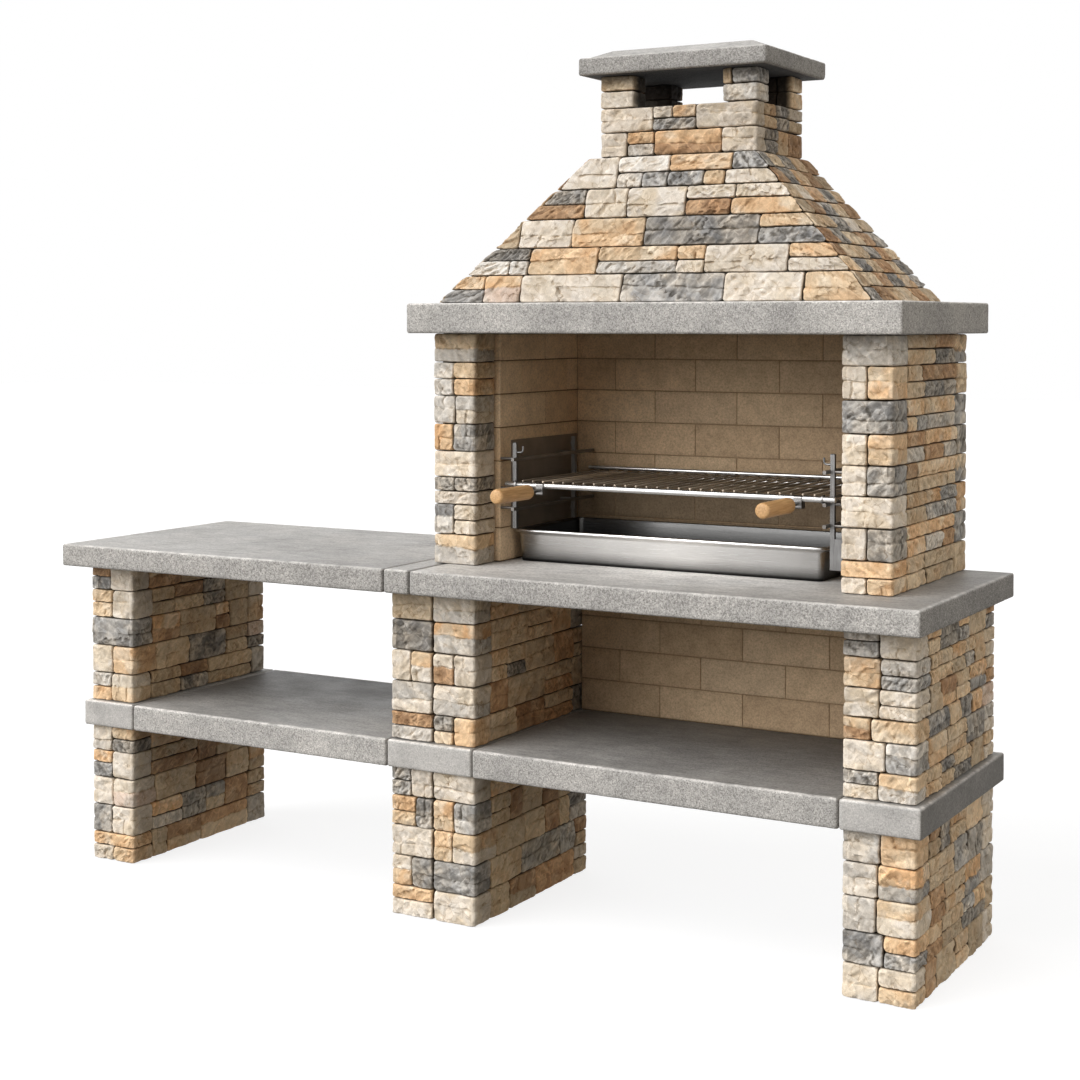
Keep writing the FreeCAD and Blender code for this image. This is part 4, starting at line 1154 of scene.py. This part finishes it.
def slab(name, nodes, x, y, z, seed, corner=8.0, edge=5.0, g=7.0, hole=None, crown=None, painted_top_light=1.0, painted_under_shade=0.8, butt="", tone=1.0, right=0.26, painted_light_across=0.0, painted_light_front_to_back=0.0, painted_centre_light=1.0, edge_wear_and_highlight=1.1, mat=None):
    """A cast slab with eased, chipped edges, lightened along the upper edges by rubbing and a painted highlight."""
    rng = np.random.RandomState(seed)
    x0, x1, y0, y1 = x[0], x[1], y[0], y[1]
    z0, z1 = z
    P, N = plan_loop(x0, x1, y0, y1, [corner] * 4, {s: even(g) for s in "FRBL"}, [4] * 4)
    zr, ins = slab_rows(z0, z1, edge, g)
    nc = len(P)
    off = rng.uniform(0, 50, 3)
    open_side = np.prod([N @ np.array(NORMALS[s], float) < 0.6 for s in butt], 0) if butt else np.ones(nc)
    # painted shade: the faces turned to +x are darkened by right
    right_face_shade = 1 - right * (N[:, 0] > 0.7)
    rings, cols = [], []
    for zz, ii in zip(zr, ins):
        p3 = np.concatenate([P, np.full((nc, 1), zz)], 1)
        to_edge = min(zz - z0, z1 - zz)
        chip = np.maximum(0.0, NOISE(p3 / 16.0 + off) - 0.22) * 5.0 * max(0.0, 1 - to_edge / 9.0)
        wavy = 0.35 + 0.35 * NOISE(p3 / 45.0 + off) + 0.25 * NOISE(p3 / 11.0 + off)
        inset = ii + np.maximum(0.0, wavy) + chip
        q = P - N * inset[:, None]
        rings.append(np.concatenate([q, np.full((nc, 1), zz)], 1))
        # the upper edges are lightened by rubbing and a painted highlight, the lower edges much less
        wear_and_highlight = max(0.0, 1 - to_edge / 4.2) * (edge_wear_and_highlight if zz > 0.5 * (z0 + z1) else 0.25)
        k = right_face_shade + wear_and_highlight * open_side * np.clip(0.6 + 0.6 * NOISE(p3 / 24.0 + off + 9) + 0.3 * NOISE(p3 / 7.0 + off), 0.0, 1.1) - 0.05 * NOISE(p3 / 70.0 + off)
        cols.append(GREY[None, :] * tone * k[:, None])
    # flat margins on the two faces
    for where in ("bottom", "top"):
        zz = z0 if where == "bottom" else z1
        k = edge + 9.0
        q = np.array([x0 + k, y0 + k]) + (P - np.array([x0, y0])) / np.array([x1 - x0, y1 - y0]) * np.array([x1 - x0 - 2 * k, y1 - y0 - 2 * k])
        ring = np.concatenate([q, np.full((nc, 1), zz)], 1)
        # painted shade on the bottom margin; painted light and shade on the top margin, graded left to right and front
        # to back, with the centre point set apart
        c = np.repeat(GREY[None, :] * (painted_under_shade if where == "bottom" else painted_top_light), nc, 0)
        if where == "top":
            c = c * (1 + painted_light_across * (1 - 2 * (q[:, 0] - x0) / (x1 - x0)) + painted_light_front_to_back * (1 - 2 * (q[:, 1] - y0) / (y1 - y0)))[:, None]
        if where == "bottom":
            rings.insert(0, ring)
            cols.insert(0, c)
        else:
            rings.append(ring)
            cols.append(c)
    if hole is None:
        if crown is not None:
            inset, rise = crown
            for f in (0.06, 0.97, 1.0):
                k = edge + 9.0 + (inset - edge - 9.0) * f
                a = np.array([x0 + k, y0 + k]), np.array([x1 - k, y1 - k])
                q = a[0] + (P - np.array([x0, y0])) / np.array([x1 - x0, y1 - y0]) * (a[1] - a[0])
                rings.append(np.concatenate([q, np.full((nc, 1), z1 + rise * min(1.0, f * 1.02))], 1))
                cols.append(np.repeat(GREY[None, :] * painted_top_light, nc, 0))
        v = np.concatenate(rings + [np.array([[0.5 * (x0 + x1), 0.5 * (y0 + y1), z0], [0.5 * (x0 + x1), 0.5 * (y0 + y1), z1 + (crown[1] if crown else 0.0)]])])
        c = np.concatenate(cols + [np.stack([GREY * painted_under_shade, GREY * painted_top_light * painted_centre_light])])
        q, t = prism_faces(nc, len(rings))
        pool = Pool()
        pool.add(v, c, q, t, 0)
    else:
        hx0, hx1, hy0, hy1 = hole
        lo, size = np.array([x0, y0]), np.array([x1 - x0, y1 - y0])
        inner = np.array([hx0, hy0]) + (P - lo) / size * np.array([hx1 - hx0, hy1 - hy0])
        grow = lambda k: np.array([hx0 - k, hy0 - k]) + (P - lo) / size * np.array([hx1 - hx0 + 2 * k, hy1 - hy0 + 2 * k])
        for q, zz in ((grow(12.0), z1), (grow(2.0), z1), (inner, z1 - 2.0), (inner, z0 + 2.0), (grow(2.0), z0), (grow(12.0), z0)):
            rings.append(np.concatenate([q, np.full((nc, 1), zz)], 1))
            # painted shade: the margins round the opening are darkened, its walls more
            cols.append(np.repeat(GREY[None, :] * (0.55 if q is inner else 0.8), nc, 0))
        v = np.concatenate(rings)
        c = np.concatenate(cols)
        nr = len(rings)
        q, _ = prism_faces(nc, nr)
        i = np.arange(nc)
        close = np.stack([(nr - 1) * nc + i, (nr - 1) * nc + (i + 1) % nc, (i + 1) % nc, i], 1)
        pool = Pool()
        pool.add(v, c, np.concatenate([q, close]), None, 0)
    return finish_piece(pool.build(name, [mat or CONCRETE]), "masonry", nodes)


BAND_Z = (359.0, 424.0)
TOP_Z = (784.0, 840.0)
slab("left_band_slab", ["left_band"], (-1205.0, -1036.0), (53.0, 652.0), BAND_Z, 61, painted_top_light=0.8, butt="R", tone=1.24, mat=FINE_CONCRETE)
slab("table_shelf_slab", ["table_shelf"], (-1035.5, -239.0), (53.0, 652.0), BAND_Z, 62, painted_top_light=0.58, butt="LR", tone=1.12, painted_light_front_to_back=0.74, painted_light_across=0.1)
slab("middle_band_slab", ["middle_band"], (-238.5, 0.0), (53.0, 652.0), BAND_Z, 63, painted_top_light=0.7, butt="LR", tone=1.22, mat=FINE_CONCRETE)
slab("main_shelf_slab", ["main_shelf"], (0.5, 902.0), (53.0, 652.0), BAND_Z, 64, painted_top_light=0.61, butt="LR", painted_light_front_to_back=0.34, painted_light_across=0.2)
slab("right_band_slab", ["right_band"], (902.5, 1084.0), (53.0, 652.0), BAND_Z, 65, painted_top_light=0.8, butt="L", tone=1.22, right=0.6, mat=FINE_CONCRETE)
slab("table_top_slab", ["table_top"], (-1230.0, -213.0), (0.0, 675.0), TOP_Z, 66, butt="R", painted_top_light=0.9, painted_light_across=0.13)
slab("worktop_infill_slab", ["worktop_infill"], (-212.0, -140.0), (0.0, 675.0), TOP_Z, 67, butt="LR")
slab("main_worktop_slab", ["main_worktop"], (-139.0, 1098.0), (0.0, 675.0), TOP_Z, 68, painted_top_light=1.06, butt="L", painted_light_across=0.38, right=0.34, painted_centre_light=1.9, edge_wear_and_highlight=0.8)
slab("lintel_cast", ["lintel_slab"], (-205.0, 1027.0), (88.0, 700.0), (1395.0, 1466.0), 69, hole=(-20.0, 836.0, 205.0, 520.0), tone=1.08, right=0.13)
slab("chimney_cap_cast", ["chimney_cap"], (190.0, 666.0), (220.0, 581.0), (1996.0, 2036.0), 70, crown=(60.0, 20.0), painted_top_light=0.93, painted_under_shade=0.1, tone=0.81, right=0.13)

# ---------------------------------------------------------------------------
# fire-brick linings
BRICK_TONES = [lin(c) for c in ((203, 178, 147), (199, 173, 142), (207, 183, 153), (195, 169, 138), (201, 176, 146))]
BRICK_L, BRICK_H, BRICK_J = 222.0, 77.0, 4.0


def brick(pool, box, exp, rng, shade=1.0, g=9.0, painted_low_shade=0.0, painted_light_lean=0.0):
    x0, x1, y0, y1, z0, z1 = box
    r = min(1.8, 0.25 * min(x1 - x0, y1 - y0, z1 - z0))
    radii, segs = [], []
    for a, b in (("F", "R"), ("R", "B"), ("B", "L"), ("L", "F")):
        open_ = (a in exp) or (b in exp)
        radii.append(r if open_ else 1.0)
        segs.append(3 if open_ else 1)
    steps = {s: even(g) if s in exp else sparse(False, False) for s in "FRBL"}
    P, N = plan_loop(x0, x1, y0, y1, radii, steps, segs)
    zr, ins = rows_of(z0, z1, r, g, 3)
    nc, nr = len(P), len(zr)
    off = rng.uniform(0, 50, 3)
    xy = P[None] - N[None] * ins[:, None, None]
    v = np.concatenate([xy, np.broadcast_to(zr[:, None, None], (nr, nc, 1))], 2).reshape(-1, 3)
    v = np.concatenate([v, [[0.5 * (x0 + x1), 0.5 * (y0 + y1), z0], [0.5 * (x0 + x1), 0.5 * (y0 + y1), z1]]])
    n3 = np.zeros_like(v)
    n3[: nr * nc, :2] = np.broadcast_to(N[None], (nr, nc, 2)).reshape(-1, 2)
    dip = 0.5 + 0.5 * NOISE(v / 60.0 + off) + 0.35 * NOISE(v / 14.0 + off)
    edge = np.minimum(v[:, 2] - z0, z1 - v[:, 2])
    chip = np.maximum(0.0, NOISE(v / 11.0 + off + 5) - 0.3) * 3.0 * np.clip(1 - edge / 8.0, 0, 1)
    v = v - n3 * np.maximum(0.0, dip + chip)[:, None]
    base = BRICK_TONES[rng.randint(len(BRICK_TONES))] * rng.uniform(0.95, 1.05) * shade
    c = base[None, :] * (1 + 0.10 * NOISE(v / 40.0 + off) + 0.06 * NOISE(v / 9.0 + off))[:, None]
    c = c * (1 - 0.12 * np.clip(1 - edge / 4.0, 0, 1))[:, None]
    # painted shade: the lower rows are darkened below the grill
    if painted_low_shade:
        c = c * (1 - painted_low_shade * smooth(1075.0, 1000.0, v[:, 2] + 14.0 * NOISE(v / 90.0 + off)))[:, None]
    # painted light and shade: lighter towards the left, darker towards the right, fading out near the top
    if painted_light_lean:
        c = c * (1 + painted_light_lean * np.clip(1 - v[:, 0] / MID_X, -1, 1) * smooth(1345.0, 1250.0, v[:, 2]))[:, None]
    q, t = prism_faces(nc, nr)
    pool.add(v, c, q, t, 0)


def brick_rows(z0, z1):
    z = z0 + BRICK_J
    k = 0
    while z < z1 - 6.0:
        top = min(z + BRICK_H, z1 - BRICK_J)
        yield k, z, top
        z = top + BRICK_J
        k += 1


def brick_runs(a0, a1, k):
    at = a0 - (0.5 * (BRICK_L + BRICK_J) if k % 2 else 0.0)
    while at < a1 - 1.0:
        s, e = max(at, a0), min(at + BRICK_L, a1)
        if e - s > 14.0:
            yield s - (1.5 if s > a0 else 0.0), e + (1.5 if e < a1 else 0.0)
        at += BRICK_L + BRICK_J


def lining(name, nodes, span, fixed, z, side, seed, shade=1.0, painted_low_shade=0.0, painted_light_lean=0.0):
    """Bricks in running bond; side F faces the front (fixed = y span), R/L face along x (fixed = x span)."""
    rng = np.random.RandomState(seed)
    pool = Pool()
    for k, z0, z1 in brick_rows(*z):
        for s, e in brick_runs(span[0], span[1], k):
            box = (s, e, fixed[0], fixed[1], z0, z1) if side == "F" else (fixed[0], fixed[1], s, e, z0, z1)
            brick(pool, box[:4] + (z0 - 0.8, z1 + 0.8), side, rng, shade, painted_low_shade=painted_low_shade, painted_light_lean=painted_light_lean)
    return finish_piece(pool.build(name, [BRICK]), "masonry", nodes)


FIRE_Z = (840.0, 1395.0)
# the shade factors here brighten or darken whole linings as painted light and shade
lining("back_lining_brickwork", ["back_lining_bricks"], (-36.5, 852.5), (635.0, 657.0), FIRE_Z, "F", 71, 1.04, painted_low_shade=0.58, painted_light_lean=0.24)
lining("left_lining_brickwork", ["left_lining_bricks"], (247.0, 657.0), (-59.0, -37.0), FIRE_Z, "R", 72, 1.3)
lining("right_lining_brickwork", ["right_lining_bricks"], (247.0, 657.0), (853.0, 875.0), FIRE_Z, "L", 73, painted_low_shade=0.4)
lining("lower_back_brickwork", ["lower_back_bricks"], (0.5, 900.5), (590.0, 612.0), UPP, "F", 74, 0.94)


def backing(name, nodes, boxes, colour):
    pool = Pool()
    for b in boxes:
        box_core(pool, *b, colour, 0)
    return finish_piece(pool.build(name, [JOINT]), "masonry", nodes)


PALE_MORTAR = lin((158, 134, 106))
backing("back_lining_bed", ["back_lining_mortar"], [(-62.0, 878.0, 637.2, 661.0, 840.3, 1394.7)], PALE_MORTAR)
backing("side_lining_bed", ["side_lining_mortar"], [(-63.0, -39.2, 253.0, 657.0, 840.3, 1394.7), (855.2, 879.0, 253.0, 657.0, 840.3, 1394.7)], lin((120, 97, 72)))
backing("lower_back_bed", ["lower_back_mortar"], [(1.0, 900.0, 592.2, 616.0, 424.3, 783.7)], PALE_MORTAR)
slab("firebox_back_slab", ["firebox_back_panel"], (-63.0, 879.0), (661.2, 675.0), (840.3, 1394.7), 75, corner=2.0, edge=2.0, g=14.0)
slab("lower_back_slab", ["lower_back_panel"], (0.5, 900.5), (616.2, 630.0), (424.3, 783.7), 76, corner=2.0, edge=2.0, g=14.0)

# ---------------------------------------------------------------------------
# pan
pool = Pool()
x0, x1, y0, y1 = -30.0, 785.0, 285.0, 622.0
profile = [
    (30.0, 840.2), (19.8, 840.2), (18.4, 840.9), (17.8, 842.6), (17.5, 845.5), (17.2, 848.5), (16.0, 860.0), (14.7, 873.0), (11.5, 904.5), (10.9, 910.4), (9.8, 911.0), (2.6, 911.0), (0.8, 911.8), (0.1, 913.6),
    (0.1, 916.4), (0.8, 918.2), (2.6, 919.0), (8.6, 919.0), (10.8, 918.4), (12.0, 916.6), (12.6, 913.5), (13.5, 904.5), (16.7, 873.0), (19.5, 845.5), (20.2, 843.2), (22.0, 842.4), (30.0, 842.2),
]
rings = []
for ins, zz in profile:
    r = max(6.0, 28.0 - ins)
    P, N = plan_loop(x0 + ins, x1 - ins, y0 + ins, y1 - ins, [r] * 4, {s: (lambda a, b: np.linspace(a, b, 13)) for s in "FRBL"}, [8] * 4)
    rings.append(np.concatenate([P, np.full((len(P), 1), zz)], 1))
nc = len(rings[0])
v = np.concatenate(rings + [np.array([[377.5, 453.5, 840.2], [377.5, 453.5, 842.2]])])
q, t = prism_faces(nc, len(rings))
# outside bright, the foot and the inside dulled by heat and ash
# painted light and shade: the outside bright, a painted contact shadow at the foot and painted shade inside; a painted
# reflection across the front, brightest in the middle, with darker ends
painted_profile_light = [0.02, 0.02, 0.02, 0.03, 0.05, 0.2, 0.55, 0.9, 1.0, 0.8, 0.8, 0.95, 1.0, 1.0, 1.0, 1.0, 1.0, 0.7, 0.28, 0.13, 0.1, 0.09, 0.07, 0.06, 0.05, 0.05, 0.05]
painted_front_reflection = np.interp((P[:, 0] - x0) / (x1 - x0), [0.0, 0.1, 0.26, 0.42, 0.55, 0.7, 0.85, 1.0], [0.5, 0.61, 0.75, 1.12, 1.12, 0.92, 0.77, 0.65])
painted_front_reflection = np.where(N[:, 1] < -0.7, painted_front_reflection, 1 - 0.45 * smooth(0.2, 0.8, np.abs(N[:, 0])))
k = np.concatenate([np.repeat(painted_profile_light, nc) * np.tile(painted_front_reflection, len(painted_profile_light)), [0.4, 0.27]])
pool.add(v, np.repeat(k[:, None], 3, 1), q, t, 0)
finish_piece(pool.build("charcoal_pan_sheet", [PAN_STEEL]), "charcoal_pan", ["charcoal_pan"])


# ---------------------------------------------------------------------------
# rods and turned pieces
def turned(pool, start, axis, profile, n=24, colour=(1.0, 1.0, 1.0), mat=0):
    """A closed turned piece: profile is (distance along axis, radius), first and last close on the axis."""
    start, axis = np.asarray(start, float), np.asarray(axis, float)
    axis = axis / np.linalg.norm(axis)
    side = np.cross(axis, [0.0, 0.0, 1.0] if abs(axis[2]) < 0.9 else [1.0, 0.0, 0.0])
    side /= np.linalg.norm(side)
    other = np.cross(axis, side)
    a = np.arange(n) * 2 * math.pi / n
    ring = np.cos(a)[:, None] * side + np.sin(a)[:, None] * other
    v = np.concatenate([start + axis * s + ring * r for s, r in profile] + [(start + axis * profile[0][0])[None], (start + axis * profile[-1][0])[None]])
    q, t = prism_faces(n, len(profile))
    pool.add(v, np.asarray(colour, float), q, t, mat)


def rod(pool, start, axis, length, r, n=20, colour=(1.0, 1.0, 1.0), end=0.3, mat=0):
    e = r * end
    turned(
        pool, start, axis,
        [(0.0, r * 0.55), (0.0, r - e), (0.3 * e, r - 0.3 * e), (e, r), (0.5 * length, r), (length - e, r), (length - 0.3 * e, r - 0.3 * e), (length, r - e), (length, r * 0.55)],
        n, colour, mat,
    )


def rods(name, nodes, items, mat):
    pool = Pool()
    for it in items:
        rod(pool, *it)
    return finish_piece(pool.build(name, [mat]), "grill", nodes)


rods("grill_front_rail_rod", ["grill_front_rail"], [((-12.0, 232.0, 1032.0), (1, 0, 0), 840.0, 7.0, 24)], BRIGHT)
rods("grill_rear_rail_rod", ["grill_rear_rail"], [((10.5, 612.0, 1031.0), (1, 0, 0), 795.0, 6.0, 24)], BRIGHT)
TINTS = np.random.RandomState(90).uniform(0.45, 1.35, 28)
rods(
    "grill_bar_rods", ["grill_bars"],
    [((37.0 + (779.0 - 37.0) * i / 27.0, 228.0, 1041.55), (0, 1, 0), 389.0, 2.5, 14, (k, 0.98 * k, 0.95 * k)) for i, k in enumerate(TINTS)],
    BAR,
)


def grip(name, node, x):
    pool = Pool()
    prof = [(0.0, 3.0), (0.0, 11.5), (0.8, 14.2), (2.6, 16.4), (5.5, 17.3), (9.0, 17.5), (40.0, 17.4), (80.0, 17.2), (120.0, 17.4), (141.0, 17.5), (144.5, 17.2), (147.5, 16.0), (149.3, 13.8), (150.0, 11.0), (150.0, 3.0)]
    turned(pool, (x, 22.0, 1022.0), (0, 1, 0), prof, 40)
    finish_piece(pool.build(name, [WOOD]), "grill", [node])


grip("left_wood_grip", "grill_left_grip", 86.0)
grip("right_wood_grip", "grill_right_grip", 742.0)

# CAD pieces shown as they are
STEEL_OF = {
    "grill_back_rail": (BRIGHT, "grill_steel"), "grill_side_bars": (SIDE_BAR, "grill_steel"), "grill_cross_rod": (SIDE_BAR, "grill_steel"), "grill_collars": (DARK, "grill_steel"),
    "grill_left_handle_bracket": (DARK, "grill_steel"), "grill_right_handle_bracket": (DARK, "grill_steel"), "grill_left_handle_shank": (DARK, "grill_steel"), "grill_right_handle_shank": (DARK, "grill_steel"),
    "left_rack_plate": (RACK, "rack_steel"), "right_rack_plate": (RACK, "rack_steel"), "left_rack_posts": (POST, "rack_steel"), "right_rack_posts": (POST, "rack_steel"), "left_rack_rungs": (RUNG, "rack_steel"), "right_rack_rungs": (RUNG, "rack_steel"),
    "rack_hooks": (POST, "rack_steel"), "rack_standoffs": (RUNG, "rack_steel"), "rack_screws": (RUNG, "rack_steel"), "right_rack_drop_plate": (POST, "rack_steel"),
}
for node, (mt, sl) in STEEL_OF.items():
    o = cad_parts[node]
    o.data.materials.clear()
    o.data.materials.append(mt)

# ---------------------------------------------------------------------------
# floor, light, camera
me = bpy.data.meshes.new("studio_floor")
n = 24
xs = np.linspace(-30.0, 30.0, n + 1)
verts = [(x, y, 0.0) for y in xs for x in xs]
faces = [(j * (n + 1) + i, j * (n + 1) + i + 1, (j + 1) * (n + 1) + i + 1, (j + 1) * (n + 1) + i) for j in range(n) for i in range(n)]
me.from_pydata(verts, [], faces)
fm, nt, p = new_mat("pale_floor")
nt.links.new(ramp(nt, noise(nt, coords(nt), 1.5, 2.0), [(0.3, (0.26, 0.26, 0.26)), (0.7, (0.28, 0.28, 0.28))]), p.inputs["Base Color"])
p.inputs["Roughness"].default_value = 0.9
p.inputs["Specular IOR Level"].default_value = 0.1
p.inputs["Emission Color"].default_value = (1.0, 1.0, 1.0, 1.0)
p.inputs["Emission Strength"].default_value = 0.82
me.materials.append(fm)
floor = bpy.data.objects.new("studio_floor", me)
bpy.context.scene.collection.objects.link(floor)
floor.visible_diffuse = False

world = bpy.data.worlds.new("studio")
bpy.context.scene.world = world
world.use_nodes = True
bg = world.node_tree.nodes["Background"]
bg.inputs["Color"].default_value = (1.0, 1.0, 1.0, 1.0)
bg.inputs["Strength"].default_value = 1.0
world.cycles_visibility.diffuse = False


def sun(name, towards, strength, angle, colour=(1.0, 1.0, 1.0)):
    """Soft studio light arriving from the direction `towards`, as seen from the object."""
    l = bpy.data.lights.new(name, "SUN")
    l.energy = strength
    l.angle = math.radians(angle)
    l.color = colour
    o = bpy.data.objects.new(name, l)
    o.location = Vector(towards) * 6.0
    o.rotation_euler = (-Vector(towards)).to_track_quat("-Z", "Y").to_euler()
    bpy.context.scene.collection.objects.link(o)
    return o


sun("key", (-0.47, -0.72, 0.51), 3.38, 60.0, (0.985, 0.99, 1.0))
sun("dome", (-0.40, -0.30, 0.87), 0.7, 130.0)
sun("fill_right", (0.97, 0.05, 0.18), 1.26, 70.0, (1.0, 0.94, 0.85))
sun("fill_front", (0.1, -0.98, 0.15), 0.44, 110.0, (1.0, 0.93, 0.82))
sun("fill_back", (-0.2, 0.9, 0.4), 0.8, 100.0)

cam = bpy.data.cameras.new("camera")
cam.sensor_fit = "HORIZONTAL"
cam.sensor_width = 36.0
cam.lens = 62.939
cam.clip_end = 200.0
cam.shift_y = -0.1552
co = bpy.data.objects.new("camera", cam)
co.location = (2.3753, -4.0127, 1.4193)
co.rotation_euler = (math.radians(88.5), 0.0, 0.5194)
bpy.context.scene.collection.objects.link(co)
bpy.context.scene.camera = co
bpy.context.scene.view_settings.view_transform = "Standard"

bpy.context.view_layer.update()
